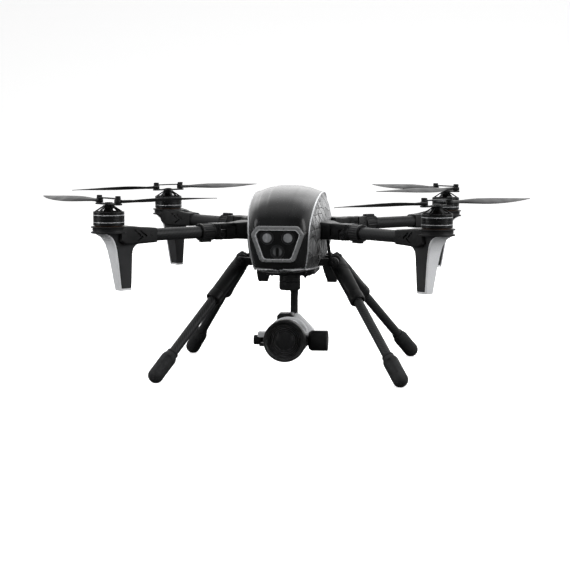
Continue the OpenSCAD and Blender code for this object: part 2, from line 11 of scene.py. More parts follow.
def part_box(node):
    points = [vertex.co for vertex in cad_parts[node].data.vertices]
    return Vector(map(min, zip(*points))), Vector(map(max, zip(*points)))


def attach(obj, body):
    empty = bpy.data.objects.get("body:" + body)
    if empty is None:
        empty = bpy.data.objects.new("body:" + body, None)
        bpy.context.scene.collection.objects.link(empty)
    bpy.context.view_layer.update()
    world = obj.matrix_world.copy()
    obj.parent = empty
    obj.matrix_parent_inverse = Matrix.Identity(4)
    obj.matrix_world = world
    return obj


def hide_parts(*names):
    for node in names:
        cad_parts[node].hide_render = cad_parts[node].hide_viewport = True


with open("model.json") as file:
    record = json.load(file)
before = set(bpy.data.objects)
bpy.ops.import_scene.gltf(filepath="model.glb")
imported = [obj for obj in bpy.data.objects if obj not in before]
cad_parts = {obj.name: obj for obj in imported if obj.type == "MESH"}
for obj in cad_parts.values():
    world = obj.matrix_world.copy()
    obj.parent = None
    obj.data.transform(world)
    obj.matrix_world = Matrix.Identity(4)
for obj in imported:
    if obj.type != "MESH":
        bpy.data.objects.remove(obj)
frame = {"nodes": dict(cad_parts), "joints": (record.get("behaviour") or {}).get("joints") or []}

# Meshes are drawn in millimetres and scaled to metres when they become pieces.
MM, PER_M = 0.001, 1000
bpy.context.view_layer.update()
JOINTS = {j["name"]: j for j in frame["joints"]}
CORNERS = ["front_left", "front_right", "rear_left", "rear_right"]
SIDES = (-1, 1)
FLAT = Matrix.Identity(4)
X_AXIS = Matrix.Rotation(math.pi / 2, 4, "Y")  # lays a shape made round Z along X
Y_AXIS = Matrix.Rotation(-math.pi / 2, 4, "X")  # the same along Y


def mm_box(node):
    """A CAD node's box in millimetres."""
    lo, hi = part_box(node)
    return lo * PER_M, hi * PER_M


def joint_mm(name):
    """Where a joint sits, in millimetres."""
    return Vector([v * PER_M for v in JOINTS[name]["pos_m"]])


# ------------------------------------------------------------------ mesh helpers
def rot(axis, degrees):
    return Matrix.Rotation(math.radians(degrees), 4, axis)


def move(x, y, z):
    return Matrix.Translation((x, y, z))


def side_flip(s):
    """Mirrors across the middle plane when s is -1."""
    return Matrix.Diagonal((s, 1, 1, 1))


def aim(point, direction):
    """A matrix that lays +Z along direction, from point."""
    return Matrix.Translation(point) @ Vector(direction).to_track_quat("Z", "Y").to_matrix().to_4x4()


def placed(bm, m):
    bm.transform(m)
    return bm


def circle(r, n):
    return [(r * math.cos(2 * math.pi * k / n), r * math.sin(2 * math.pi * k / n)) for k in range(n)]


def lathe(profile, n=64, closed=False):
    """Turns an (r, z) profile round Z. UVs are millimetres round and along."""
    bm = bmesh.new()
    uv = bm.loops.layers.uv.new("UVMap")
    rings, along = [], []
    for i, (r, z) in enumerate(profile):
        back = profile[i - 1] if i else profile[0]
        along.append((along[-1] if i else 0.0) + math.hypot(r - back[0], z - back[1]))
        rings.append([bm.verts.new((x, y, z)) for x, y in (circle(r, n) if r >= 1e-6 else [(0, 0)])])
    pairs = list(zip(range(len(rings) - 1), range(1, len(rings))))
    if closed:
        pairs.append((len(rings) - 1, 0))
    turn = 2 * math.pi * max(r for r, z in profile) / n

    def corners(row, columns):
        ring = rings[row]
        if len(ring) == 1:
            middle = sum(columns) / 2
            return [(ring[0], middle, along[row])]
        return [(ring[k % n], k, along[row]) for k in columns]

    for a, b in pairs:
        for k in range(n):
            loop = corners(a, (k, k + 1)) + corners(b, (k + 1, k))
            if len(loop) < 3:
                continue
            face = bm.faces.new([vert for vert, u, v in loop])
            for lp, (vert, u, v) in zip(face.loops, loop):
                lp[uv].uv = (u * turn, v)
    bmesh.ops.recalc_face_normals(bm, faces=bm.faces)
    return bm


def tube(r_out, r_in, z0, z1, lip=0.4, n=48):
    """A pipe with broken edges."""
    c = min(lip, (r_out - r_in) / 3)
    wall = [(r_in, z0), (r_out - c, z0), (r_out, z0 + c), (r_out, z1 - c), (r_out - c, z1), (r_in, z1)]
    return lathe(wall, n, closed=True)


def rod(r, z0, z1, lip=0.4, n=40):
    """A solid bar with rounded edges."""
    low = [(0, z0), (r - lip, z0), (r - lip * 0.3, z0 + lip * 0.3), (r, z0 + lip)]
    high = [(r, z1 - lip), (r - lip * 0.3, z1 - lip * 0.3), (r - lip, z1), (0, z1)]
    return lathe(low + high, n)


def prism(outline, z0, z1):
    """An outline in the XY plane, drawn up from z0 to z1."""
    bm = bmesh.new()
    low = [bm.verts.new((x, y, z0)) for x, y in outline]
    high = [bm.verts.new((x, y, z1)) for x, y in outline]
    bm.faces.new(low[::-1])
    bm.faces.new(high)
    for i in range(len(outline)):
        j = (i + 1) % len(outline)
        bm.faces.new([low[i], low[j], high[j], high[i]])
    bmesh.ops.recalc_face_normals(bm, faces=bm.faces)
    return bm


def bevel(bm, width, segments=2, limit=25):
    """Rounds every edge sharper than the limit in degrees."""
    limit = math.radians(limit)
    edges = [e for e in bm.edges if len(e.link_faces) == 2 and e.calc_face_angle(0) > limit]
    bmesh.ops.bevel(bm, geom=edges, offset=width, offset_type="OFFSET", segments=segments,
                    profile=0.5, affect="EDGES", clamp_overlap=True)
    return bm


def rect(x0, x1, y0, y1):
    return [(x0, y0), (x1, y0), (x1, y1), (x0, y1)]


def box(x0, x1, y0, y1, z0, z1, edge=0.5, segments=2):
    bm = prism(rect(x0, x1, y0, y1), z0, z1)
    return bevel(bm, edge, segments) if edge else bm


def rounded(points, radius, n=6):
    """A polygon with its corners rounded off; radius is one number or one for each corner."""
    out = []
    for i, p in enumerate(points):
        p = Vector(p)
        a, b = Vector(points[i - 1]) - p, Vector(points[(i + 1) % len(points)]) - p
        half = a.angle(b) / 2
        r = radius[i] if isinstance(radius, (list, tuple)) else radius
        cut_back = min(r / math.tan(half), a.length * 0.48, b.length * 0.48)
        start, end = p + a.normalized() * cut_back, p + b.normalized() * cut_back
        for k in range(n + 1):
            t = k / n
            out.append(tuple(start * (1 - t) ** 2 + p * 2 * t * (1 - t) + end * t ** 2))
    return out


def soft_rect(x0, x1, y0, y1, radius, n=4):
    """A rectangle with rounded corners."""
    return rounded(rect(x0, x1, y0, y1), radius, n)


def at_z(outline, z):
    return [(x, y, z) for x, y in outline]


def at_x(outline, x):
    return [(x, y, z) for y, z in outline]


def at_y(outline, y):
    return [(x, y, z) for x, z in outline]


def loft(loops, closed=False):
    """Skins a row of closed loops that have equally many points."""
    bm = bmesh.new()
    uv = bm.loops.layers.uv.new("UVMap")
    rows = [[bm.verts.new(p) for p in loop] for loop in loops]
    n = len(rows[0])
    count = len(rows) if closed else len(rows) - 1
    for i in range(count):
        a, b = rows[i], rows[(i + 1) % len(rows)]
        for k in range(n):
            m = (k + 1) % n
            f = bm.faces.new([a[k], a[m], b[m], b[k]])
            for lp, (u, v) in zip(f.loops, [(k, i), (k + 1, i), (k + 1, i + 1), (k, i + 1)]):
                lp[uv].uv = (u / n, v / count)
    if not closed:
        bm.faces.new(rows[0][::-1])
        bm.faces.new(rows[-1])
    bmesh.ops.recalc_face_normals(bm, faces=bm.faces)
    return bm


def smooth_path(points, per=8, closed=False):
    """Catmull-Rom through the points."""
    p = [Vector(q) for q in points]
    n = len(p)
    out = []
    for i in range(n if closed else n - 1):
        a = p[(i - 1) % n] if closed or i else p[0] * 2 - p[1]
        b, c = p[i], p[(i + 1) % n]
        d = p[(i + 2) % n] if closed or i + 2 < n else c * 2 - b
        for k in range(per):
            t = k / per
            bend = (2 * a - 5 * b + 4 * c - d) * t * t + (3 * b - a - 3 * c + d) * t ** 3
            out.append(0.5 * (2 * b + (c - a) * t + bend))
    if not closed:
        out.append(p[-1])
    return out


def sweep(path, size, n=12, closed=False, flat=1.0, up=(0, 0, 1)):
    """A round or oval bar along a path; size is a radius or one radius a point."""
    loops = []
    count = len(path)
    for i, p in enumerate(path):
        before = path[i - 1] if i or closed else p
        after = path[(i + 1) % count] if i + 1 < count or closed else p
        along = (after - before).normalized()
        side = along.cross(Vector(up)).normalized()
        top = side.cross(along).normalized()
        r = size[i] if isinstance(size, (list, tuple)) else size
        loops.append([p + side * x + top * (y * flat) for x, y in circle(r, n)])
    return loft(loops, closed=closed)


class Kit:
    """Meshes that become one piece, each with a material index (None keeps its own) and a place."""

    def __init__(self, *meshes):
        self.rows = [(bm, 0, FLAT) for bm in meshes]

    def put(self, bm, index=0, place=FLAT):
        self.rows.append((bm, index, place))

    def join(self, place=FLAT):
        out = bmesh.new()
        out.loops.layers.uv.new("UVMap")
        for src, index, own_place in self.rows:
            turn = place @ own_place
            src.transform(turn)
            if turn.determinant() < 0:
                bmesh.ops.reverse_faces(src, faces=src.faces)
            if not src.loops.layers.uv:
                src.loops.layers.uv.new("UVMap")
            if index is not None:
                for f in src.faces:
                    f.material_index = index
            me = bpy.data.meshes.new("join")
            src.to_mesh(me)
            src.free()
            out.from_mesh(me)
            bpy.data.meshes.remove(me)
        return out


def new_object(name, bm):
    """An object in the scene that holds the mesh; the bmesh is used up."""
    ob = bpy.data.objects.new(name, bpy.data.meshes.new(name))
    bm.to_mesh(ob.data)
    bm.free()
    bpy.context.scene.collection.objects.link(ob)
    return ob


def drop(ob):
    mesh = ob.data
    bpy.data.objects.remove(ob)
    bpy.data.meshes.remove(mesh)


def evaluated(ob):
    """The object's mesh with its modifiers applied; the object is removed."""
    bpy.context.view_layer.update()
    me = bpy.data.meshes.new_from_object(ob.evaluated_get(bpy.context.evaluated_depsgraph_get()))
    out = bmesh.new()
    out.from_mesh(me)
    drop(ob)
    bpy.data.meshes.remove(me)
    return out


def cut(bm, cutters):
    """Takes the cutters away from a closed mesh."""
    base, tool = new_object("cut_base", bm), new_object("cut_tool", Kit(*cutters).join())
    mod = base.modifiers.new("cut", "BOOLEAN")
    mod.operation = "DIFFERENCE"
    mod.solver = "EXACT"
    mod.use_self = True
    mod.object = tool
    out = evaluated(base)
    drop(tool)
    return out


def thicken(bm, t):
    """Gives an open sheet a thickness, inwards."""
    ob = new_object("thick", bm)
    mod = ob.modifiers.new("thick", "SOLIDIFY")
    mod.thickness = t
    mod.offset = -1
    return evaluated(ob)


def piece(name, made, body, materials, replaces=(), place=FLAT, angle=35):
    """Turns a kit or a mesh into a piece that rides on a body, sharp where it bends past angle."""
    me = bpy.data.meshes.new(name)
    bm = made.join() if isinstance(made, Kit) else made
    bm.to_mesh(me)
    bm.free()
    me.transform(place)
    if place.determinant() < 0:
        me.flip_normals()
    me.transform(Matrix.Scale(MM, 4))
    for m in materials:
        me.materials.append(m)
    me.polygons.foreach_set("use_smooth", [True] * len(me.polygons))
    if angle < 180:
        me.set_sharp_from_angle(angle=math.radians(angle))
    ob = bpy.data.objects.new(name, me)
    bpy.context.scene.collection.objects.link(ob)
    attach(ob, body)
    if replaces:
        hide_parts(*replaces)


def dress(node, material):
    """Keeps a CAD node as it is and gives it a material."""
    ob = frame["nodes"][node]
    ob.data.materials.clear()
    ob.data.materials.append(material)


# ------------------------------------------------------------------ materials
class Mat:
    """A material whose nodes are added by short calls. Coordinates are millimetres."""

    def __init__(self, name):
        self.m = bpy.data.materials.new(name)
        self.m.use_nodes = True
        self.nt = self.m.node_tree
        self.nt.nodes.clear()
        out = self.new("ShaderNodeOutputMaterial")
        self.b = self.new("ShaderNodeBsdfPrincipled")
        self.link(self.b.outputs[0], out.inputs[0])
        co = self.new("ShaderNodeTexCoord")
        mm = self.new("ShaderNodeVectorMath", operation="SCALE")
        self.link(co.outputs["Object"], mm.inputs[0])
        mm.inputs["Scale"].default_value = PER_M
        self.co = mm.outputs[0]
        self.uv = co.outputs["UV"]

    def new(self, kind, **settings):
        node = self.nt.nodes.new(kind)
        for k, v in settings.items():
            setattr(node, k, v)
        return node

    def link(self, a, b):
        self.nt.links.new(a, b)

    def put(self, socket, value):
        if hasattr(value, "links"):
            self.link(value, socket)
        else:
            socket.default_value = value

    def calc(self, op, a, b=0.0):
        node = self.new("ShaderNodeMath", operation=op)
        self.put(node.inputs[0], a)
        self.put(node.inputs[1], b)
        return node.outputs[0]

    def split(self, vector):
        node = self.new("ShaderNodeSeparateXYZ")
        self.link(vector, node.inputs[0])
        return node.outputs

    def noise(self, size, detail=3.0, rough=0.55, stretch=(1, 1, 1)):
        """Noise with features about size millimetres wide."""
        scaled = self.new("ShaderNodeVectorMath", operation="MULTIPLY")
        self.link(self.co, scaled.inputs[0])
        scaled.inputs[1].default_value = [s / size for s in stretch]
        node = self.new("ShaderNodeTexNoise")
        self.link(scaled.outputs[0], node.inputs["Vector"])
        for key, value in (("Scale", 1), ("Detail", detail), ("Roughness", rough)):
            node.inputs[key].default_value = value
        return node.outputs["Fac"]

    def ramp(self, value, lo, hi, out_lo=0.0, out_hi=1.0):
        node = self.new("ShaderNodeMapRange", interpolation_type="SMOOTHSTEP")
        for s, v in zip(node.inputs, (value, lo, hi, out_lo, out_hi)):
            self.put(s, v)
        return node.outputs[0]

    def patches(self, size, lo, hi, detail=3):
        """Soft blotches that run from lo to hi."""
        return self.ramp(self.noise(size, detail), 0.3, 0.7, lo, hi)

    def mix(self, fac, a, b):
        node = self.new("ShaderNodeMix", data_type="RGBA")
        self.put(node.inputs["Factor"], fac)
        for s, v in ((node.inputs[6], a), (node.inputs[7], b)):
            self.put(s, v if hasattr(v, "links") else (*v, 1))
        return node.outputs[2]

    def bump(self, height, distance, normal=None):
        node = self.new("ShaderNodeBump")
        self.link(height, node.inputs["Height"])
        node.inputs["Strength"].default_value = 1
        node.inputs["Distance"].default_value = distance * MM
        if normal is not None:
            self.link(normal, node.inputs["Normal"])
        return node.outputs[0]

    def worn_edges(self, tone, colour, radius, patch, lo, hi, wear):
        """Rubs the colour into the tone on sharp edges, in patches."""
        bev = self.new("ShaderNodeBevel", samples=3)
        bev.inputs["Radius"].default_value = radius * MM
        geo = self.new("ShaderNodeNewGeometry")
        dot = self.new("ShaderNodeVectorMath", operation="DOT_PRODUCT")
        self.link(bev.outputs[0], dot.inputs[0])
        self.link(geo.outputs["Normal"], dot.inputs[1])
        edge = self.ramp(dot.outputs["Value"], 0.985, 0.86)
        rub = self.calc("MULTIPLY", edge, self.ramp(self.noise(patch, 4), lo, hi))
        return self.mix(self.calc("MULTIPLY", rub, wear), tone, colour)

    def done(self, color, rough, metal=0.0, normal=None, coat=0.0, coat_rough=0.05, spec=0.5, aniso=0.0):
        self.put(self.b.inputs["Base Color"], color if hasattr(color, "links") else (*color, 1))
        values = {"Roughness": rough, "Metallic": metal, "Coat Weight": coat, "Coat Roughness": coat_rough,
                  "Specular IOR Level": spec, "Anisotropic": aniso}
        for key, value in values.items():
            self.put(self.b.inputs[key], value)
        if normal is not None:
            self.link(normal, self.b.inputs["Normal"])
        return self.m


def grey(v, tint=0.03):
    """A neutral grey, a touch cool."""
    return (v * (1 - tint), v * (1 - tint * 0.3), v * (1 + tint))


def moulded(name, dark, light, rough, grain=0.35, depth=0.02, wear=0.25, coat=0.0):
    """Moulded plastic: a fine grain, slow changes of tone, smudges, and pale worn edges."""
    m = Mat(name)
    tone = m.mix(m.patches(26, 0, 1), grey(dark), grey(light))
    fine = m.noise(grain, 2)
    tone = m.worn_edges(tone, grey(light * 3.2 + 0.05), 0.7, 5, 0.38, 0.66, wear)
    smudge = m.ramp(m.noise(38, 4, 0.65), 0.3, 0.75, -0.06, 0.07)
    r = m.calc("ADD", m.calc("ADD", smudge, rough), m.calc("MULTIPLY", fine, 0.05))
    return m.done(tone, r, 0, m.bump(fine, depth, m.bump(m.noise(4, 2), depth * 1.2)), coat, 0.12)


def painted(name, value, rough, metal, wear=0.5, flake=0.5):
    """Satin metallic paint: small flakes, faint streaks, and edges rubbed bright."""
    m = Mat(name)
    spark = m.noise(flake, 2, 0.7)
    tone = m.mix(m.ramp(spark, 0.3, 0.7), grey(value * 0.86, 0.015), grey(min(1, value * 1.1), 0.015))
    tone = m.mix(m.ramp(m.noise(30, 3), 0.35, 0.7, 0, 0.3), tone, grey(value * 0.75, 0.02))
    tone = m.worn_edges(tone, grey(0.92, 0.01), 0.5, 6, 0.4, 0.65, wear)
    r = m.calc("ADD", rough, m.patches(22, -0.06, 0.08, 4))
    return m.done(tone, r, metal, m.bump(spark, 0.012, m.bump(m.noise(9, 2), 0.03)), 0.15, 0.2)


def canopy_paint():
    """Deep gloss lacquer: nearly black, orange peel, hairline scratches and a little dust on top."""
    m = Mat("canopy_gloss")
    peel = m.noise(3.2, 2)
    scratch = m.ramp(m.noise(1.6, 3, 0.6, (1, 0.05, 1)), 0.6, 0.72)
    dust = m.ramp(m.noise(0.9, 3, 0.8), 0.64, 0.8, 0, 0.12)
    tone = m.mix(m.patches(40, 0, 1), grey(0.008), grey(0.014))
    tone = m.mix(dust, tone, grey(0.16, 0.0))
    r = m.calc("ADD", m.patches(45, 0.17, 0.25, 4), m.calc("MULTIPLY", scratch, 0.1))
    return m.done(tone, r, 0, m.bump(peel, 0.012, m.bump(m.noise(14, 2), 0.03)), 0.55, 0.09)


def facet_silver():
    """Silver side cover: each facet a little lighter or darker, dark in the grooves, and painted shade low
    down and towards the front.
    """
    m = Mat("facet_silver")
    shade = m.new("ShaderNodeAttribute", attribute_name="facet").outputs["Fac"]
    groove = m.new("ShaderNodeAttribute", attribute_name="groove").outputs["Fac"]
    spark = m.noise(0.6, 2, 0.7)
    tone = m.mix(shade, grey(0.22, 0.015), grey(0.72, 0.01))
    tone = m.mix(m.ramp(spark, 0.3, 0.7, 0, 0.25), tone, grey(0.86, 0.01))
    streak = m.ramp(m.noise(2.2, 3, 0.7, (0.25, 1, 0.18)), 0.52, 0.66, 0, 0.45)
    tone = m.mix(streak, tone, grey(0.22, 0.02))
    _, y, z = m.split(m.co)
    # painted shade: the tone darkens low down and towards the front
    low = m.calc("MULTIPLY", m.ramp(z, 240, 180), m.ramp(y, 40, -90, 0.25, 0.8))
    tone = m.mix(low, tone, grey(0.09, 0.01))
    tone = m.mix(m.ramp(groove, 0.25, 0.6), tone, grey(0.02))
    r = m.calc("ADD", 0.3, m.patches(12, -0.05, 0.12, 4))
    brushed = m.bump(m.noise(1.1, 3, 0.7, (0.3, 1, 0.2)), 0.05)
    return m.done(tone, r, 0.5, m.bump(spark, 0.015, brushed), 0.2, 0.15)


def weave(name, tow, dark, light, rough):
    """Twill carbon weave on UVs in millimetres, under a thin resin coat; tow is one strand's width."""
    m = Mat(name)
    x, y, _ = m.split(m.uv)
    u, v = m.calc("DIVIDE", x, tow), m.calc("DIVIDE", y, tow)
    diagonal = m.calc("ADD", m.calc("FLOOR", u), m.calc("FLOOR", v))
    twill = m.calc("LESS_THAN", m.calc("FLOORED_MODULO", diagonal, 4.0), 2.0)

    def strand(w):
        return m.calc("ABSOLUTE", m.calc("SINE", m.calc("MULTIPLY", m.calc("FRACT", w), math.pi)))

    over, under = m.calc("MULTIPLY", strand(u), twill), m.calc("SUBTRACT", 1.0, twill)
    height = m.calc("ADD", over, m.calc("MULTIPLY", strand(v), under))
    tone = m.mix(twill, grey(dark), grey(light))
    tone = m.mix(m.ramp(m.noise(0.3, 2, 0.7), 0.35, 0.7, 0, 0.4), tone, grey(light * 1.6))
    r = m.calc("ADD", m.calc("MULTIPLY", twill, 0.1), m.patches(25, rough - 0.04, rough + 0.08, 4))
    return m.done(tone, r, 0, m.bump(height, 0.06, m.bump(m.noise(7, 3), 0.03)), 0.1, 0.15)


def machined(name, value, rough, along=(0.02, 0.02, 1), metal=1.0, wear=0.4):
    """Turned metal: fine tool marks square to the axis, and rubbed edges."""
    m = Mat(name)
    lines = m.noise(0.28, 2, 0.6, along)
    tone = m.mix(m.ramp(lines, 0.3, 0.7), grey(value * 0.8, 0.02), grey(min(1, value * 1.18), 0.02))
    tone = m.worn_edges(tone, grey(0.55 + value * 0.4, 0.01), 0.45, 4, 0.38, 0.62, wear)
    r = m.calc("ADD", rough, m.patches(16, -0.05, 0.08, 4))
    return m.done(tone, r, metal, m.bump(lines, 0.012, m.bump(m.noise(8, 2), 0.015)), 0.1, 0.2, aniso=0.35)


def rubber(name):
    """Matt rubber: fine pits, scuffs and dust near the ground."""
    m = Mat(name)
    low = m.ramp(m.split(m.co)[2], 16, 0)
    scuff = m.ramp(m.noise(3, 5, 0.7), 0.5, 0.72)
    tone = m.mix(m.noise(12, 3), grey(0.012), grey(0.03))
    dust = m.calc("MULTIPLY", scuff, m.calc("ADD", 0.15, m.calc("MULTIPLY", low, 0.4)))
    tone = m.mix(dust, tone, grey(0.11, -0.02))
    n = m.bump(m.noise(0.45, 3), 0.05, m.bump(scuff, 0.05))
    return m.done(tone, m.patches(9, 0.55, 0.75), 0, n, 0, 0.3, 0.4)


def blade_plastic():
    """Fibre-filled propeller plastic: a mottled face, and a darker rim, root and tip."""
    m = Mat("blade_fibre")
    around, out, _ = m.split(m.uv)
    rim = m.calc("ABSOLUTE", m.calc("COSINE", m.calc("MULTIPLY", around, 2 * math.pi)))
    fibre = m.noise(1.0, 4, 0.7)
    tone = m.mix(m.ramp(fibre, 0.3, 0.7), grey(0.075), grey(0.12))
    tone = m.mix(m.ramp(rim, 0.86, 0.995), tone, grey(0.012))
    tone = m.mix(m.ramp(out, 148, 164), tone, grey(0.02))
    tone = m.mix(m.ramp(m.noise(30, 3), 0.35, 0.7, 0, 0.2), tone, grey(0.16))
    tone = m.mix(m.ramp(out, 30, 14), tone, grey(0.014))
    return m.done(tone, m.patches(18, 0.36, 0.5, 4), 0, m.bump(fibre, 0.02), 0.1, 0.3)


def glass(name, value, rough=0.04):
    """Dark coated glass: smooth, with faint wipe marks."""
    m = Mat(name)
    wipe = m.noise(9, 4, 0.7, (1, 1, 0.3))
    tone = m.mix(m.ramp(wipe, 0.4, 0.7), grey(value), grey(value * 1.5 + 0.002))
    r = m.ramp(wipe, 0.45, 0.75, rough, rough + 0.06)
    return m.done(tone, r, 0, m.bump(wipe, 0.004), 1.0, 0.03, 0.7)


def coil():
    """Enamelled copper wire wound side by side."""
    m = Mat("coil_copper")
    wires = m.calc("ABSOLUTE", m.calc("SINE", m.calc("MULTIPLY", m.split(m.co)[2], 4.2)))
    tone = m.mix(m.noise(2, 3), (0.06, 0.032, 0.02), (0.11, 0.06, 0.035))
    return m.done(tone, m.ramp(wires, 0, 1, 0.5, 0.25), 0.8, m.bump(wires, 0.2), 0.3)


def board():
    """Solder mask with faint tracks."""
    m = Mat("board_green")
    tracks = m.ramp(m.noise(1.6, 1, 0.4, (1, 0.12, 1)), 0.5, 0.54)
    tone = m.mix(tracks, (0.012, 0.05, 0.03), (0.02, 0.09, 0.05))
    return m.done(tone, m.patches(8, 0.3, 0.45), 0, m.bump(tracks, 0.05), 0.4)


GLOSS = canopy_paint()
FACETS = facet_silver()
TRIM = painted("trim_silver", 0.95, 0.24, 0.5, 0.4)
BEZEL = painted("bezel_silver", 0.30, 0.28, 0.45, 1.0)
BEZEL_LIP = painted("bezel_lip", 0.72, 0.25, 0.4, 0.9)
WINGLET = painted("winglet_silver", 0.92, 0.42, 0.08, 0.35)
CAMERA_SILVER = painted("camera_silver", 0.95, 0.34, 0.12, flake=0.4)
FRAME = moulded("frame_black", 0.010, 0.017, 0.42, 0.5, 0.025)
ARM = moulded("arm_black", 0.009, 0.015, 0.36, 0.4, 0.02, 0.3, 0.1)
MOUNT = moulded("mount_black", 0.010, 0.016, 0.42, 0.45, 0.025)
WING_DARK = moulded("winglet_dark", 0.03, 0.042, 0.5, 0.45, 0.02)
SATIN = moulded("gimbal_black", 0.013, 0.02, 0.33, 0.3, 0.012, 0.2, 0.15)
# painted shade: a near-black plastic for parts deep in recesses, the bell's magnets and the slit in the lower
# eye
RECESS_SHADE = moulded("painted_recess_shade", 0.003, 0.006, 0.6, 0.5, 0.02, 0.05)
BATTERY = moulded("battery_black", 0.014, 0.022, 0.5, 0.7, 0.04)
WINDOW = glass("window_black", 0.005, 0.06)
LENS = glass("lens_glass", 0.012)
EYE = glass("eye_grey", 0.2, 0.25)
EYE_DARK = glass("eye_dark", 0.07, 0.2)
TUBE = weave("tube_carbon", 1.6, 0.010, 0.024, 0.4)
ROD = weave("rod_carbon", 1.25, 0.008, 0.03, 0.36)
RUBBER = rubber("boot_rubber")
BLADE = blade_plastic()
BELL = machined("bell_black", 0.055, 0.3, metal=0.9)
BRIGHT = machined("ring_bright", 0.85, 0.2, metal=0.45)
STEEL = machined("steel", 0.42, 0.28)
BLACKED = machined("screw_black", 0.06, 0.36, metal=0.8, wear=0.3)
LENS_METAL = machined("lens_black", 0.028, 0.33, (0.02, 1, 0.02), 0.4)
COIL = coil()
BOARD = board()


# ------------------------------------------------------------------ body
SHELL_LO, SHELL_HI = mm_box("top_shell")
BEZEL_LO, BEZEL_HI = mm_box("nose_bezel")
BATTERY_LO, BATTERY_HI = mm_box("battery_pack")
HALF_W = mm_box("side_panels")[1].x
ARM_Z = joint_mm("collar_twist_front_left").z
COVER_T, SIDE_T = 1.6, 1.5  # thickness of the central and the side covers
SPLIT_GAP = 0.4  # between the upper and the lower cover
BAY_GAP = 0.7  # round the battery

# The ring round the body, seen from the side: the middle line (y, z) and, beside it, the edge where
# the central cover meets the side cover (x, y, z). It runs up the nose, over the top and back below.
RING = [
    (-154, 172, 37.0, -132, 169), (-155, 185, 40.0, -137, 186), (-155, 200, 41.6, -141, 200),
    (-154.5, 214, 42.6, -143, 213), (-151.5, 228.5, 43.6, -138, 228), (-145, 242, 45.2, -125, 241),
    (-133, 254, 46.8, -108, 251.5), (-112, 265.5, 48.0, -86, 260), (-84, 274.5, 48.8, -60, 266),
    (-50, 280, 49.4, -32, 270), (-15, 281, 49.8, -5, 271.3), (20, 280.3, 49.6, 22, 270.6),
    (60, 275.5, 48.6, 55, 266), (100, 263.5, 46.5, 92, 256), (140, 246.5, 43.5, 128, 241),
    (168, 232, 41.0, 152, 226), (180, 221, 39.6, 163, 214), (182, 205, 39.5, 167, 200),
    (182, 188, 38.8, 166, 186), (181, 174, 38.0, 160, 175), (172, 164, 38.0, 146, 168),
    (140, 158.5, 39.5, 118, 164), (100, 155.5, 42.5, 85, 161.5), (50, 154, 45.0, 45, 160.5),
    (0, 154, 46.5, 0, 160.5), (-50, 154.5, 46.0, -45, 161), (-95, 156, 42.5, -85, 162),
    (-122, 158.5, 38.0, -111, 163), (-141, 162.5, 35.0, -125, 164.5), (-151, 167, 35.0, -130, 166.5),
]
RING_STEPS = 5  # points for each row of the ring
CHIN_ROW = 142.6  # where along the ring's points the chin lines start
# Half width of the side covers along the body (y, x), and the share of it at each height (z, share)
SIDE_PLAN = [(-145, 42), (-115, 50), (-80, 54.8), (-40, 58.8), (10, 60.6), (50, 60.0), (100, 55.5),
             (140, 48), (170, 41)]
SIDE_RISE = [(160, 0.82), (172, 0.93), (190, 0.97), (210, 1.0), (236, 0.985), (255, 0.93), (270, 0.84)]
# The nose, length, top and half width that the tables above were drawn for
DRAWN_NOSE, DRAWN_LENGTH, DRAWN_TOP, DRAWN_HALF_W = -155, 337, 281, 61


def between(table, x):
    """Straight-line reading of a table of (x, value)."""
    if x <= table[0][0]:
        return table[0][1]
    for (a, va), (b, vb) in zip(table, table[1:]):
        if x <= b:
            return va + (vb - va) * (x - a) / (b - a)
    return table[-1][1]


def step(x, a, b):
    t = max(0.0, min(1.0, (x - a) / (b - a)))
    return t * t * (3 - 2 * t)


def fit(x, y, z):
    """From the ring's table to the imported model's nose, tail, top and width."""
    along = (y - DRAWN_NOSE) / DRAWN_LENGTH
    length = SHELL_HI.y - SHELL_LO.y
    return Vector((x * HALF_W / DRAWN_HALF_W, SHELL_LO.y + along * length, z + SHELL_HI.z - DRAWN_TOP))


MIDDLE = smooth_path([fit(0, *r[:2]) for r in RING], RING_STEPS, closed=True)
EDGE = smooth_path([fit(*r[2:]) for r in RING], RING_STEPS, closed=True)


def ring_point(i, u):
    """A point of the central cover: i runs round the ring and u from -1 (left) to 1 (right)."""
    n, t = len(MIDDLE), i - math.floor(i)
    a = math.floor(i) % n
    b = (a + 1) % n
    mid, edge = MIDDLE[a].lerp(MIDDLE[b], t), EDGE[a].lerp(EDGE[b], t)
    ahead = (MIDDLE[b] - MIDDLE[a - 1]).normalized()
    out = Vector((0, -ahead.z, ahead.y))
    nose = step(-mid.y, 96, 152) * step(mid.z, 165, 178)
    w = abs(u) ** (3.0 + 2.4 * nose)
    p = Vector((edge.x * u, mid.y + (edge.y - mid.y) * w, mid.z + (edge.z - mid.z) * w))
    # two shallow creases along each side of the roof
    crease = 0.8 * step(abs(u), 0.36, 0.42) + 0.6 * step(abs(u), 0.66, 0.71)
    return p - out * step(mid.z, 236, 262) * crease * (1 - step(abs(u), 0.86, 1))


def ring_cover(upper):
    """The central cover above or below the split, as a thick closed shell."""
    count, across = len(MIDDLE), 60
    bm = bmesh.new()
    shares = [2 * k / across - 1 for k in range(across + 1)]
    rows = [[bm.verts.new(ring_point(i, u)) for u in shares] for i in range(count)]
    for i in range(count):
        j = (i + 1) % count
        for k in range(across):
            bm.faces.new([rows[i][k], rows[i][k + 1], rows[j][k + 1], rows[j][k]])
    bmesh.ops.recalc_face_normals(bm, faces=bm.faces)
    if max(bm.faces, key=lambda f: f.calc_center_median().z).normal.z < 0:
        bmesh.ops.reverse_faces(bm, faces=bm.faces)
    level = ARM_Z + (SPLIT_GAP / 2 if upper else -SPLIT_GAP / 2)
    bmesh.ops.bisect_plane(bm, geom=bm.verts[:] + bm.edges[:] + bm.faces[:], plane_co=(0, 0, level),
                           plane_no=(0, 0, 1), clear_inner=upper, clear_outer=not upper)
    return thicken(bm, COVER_T)


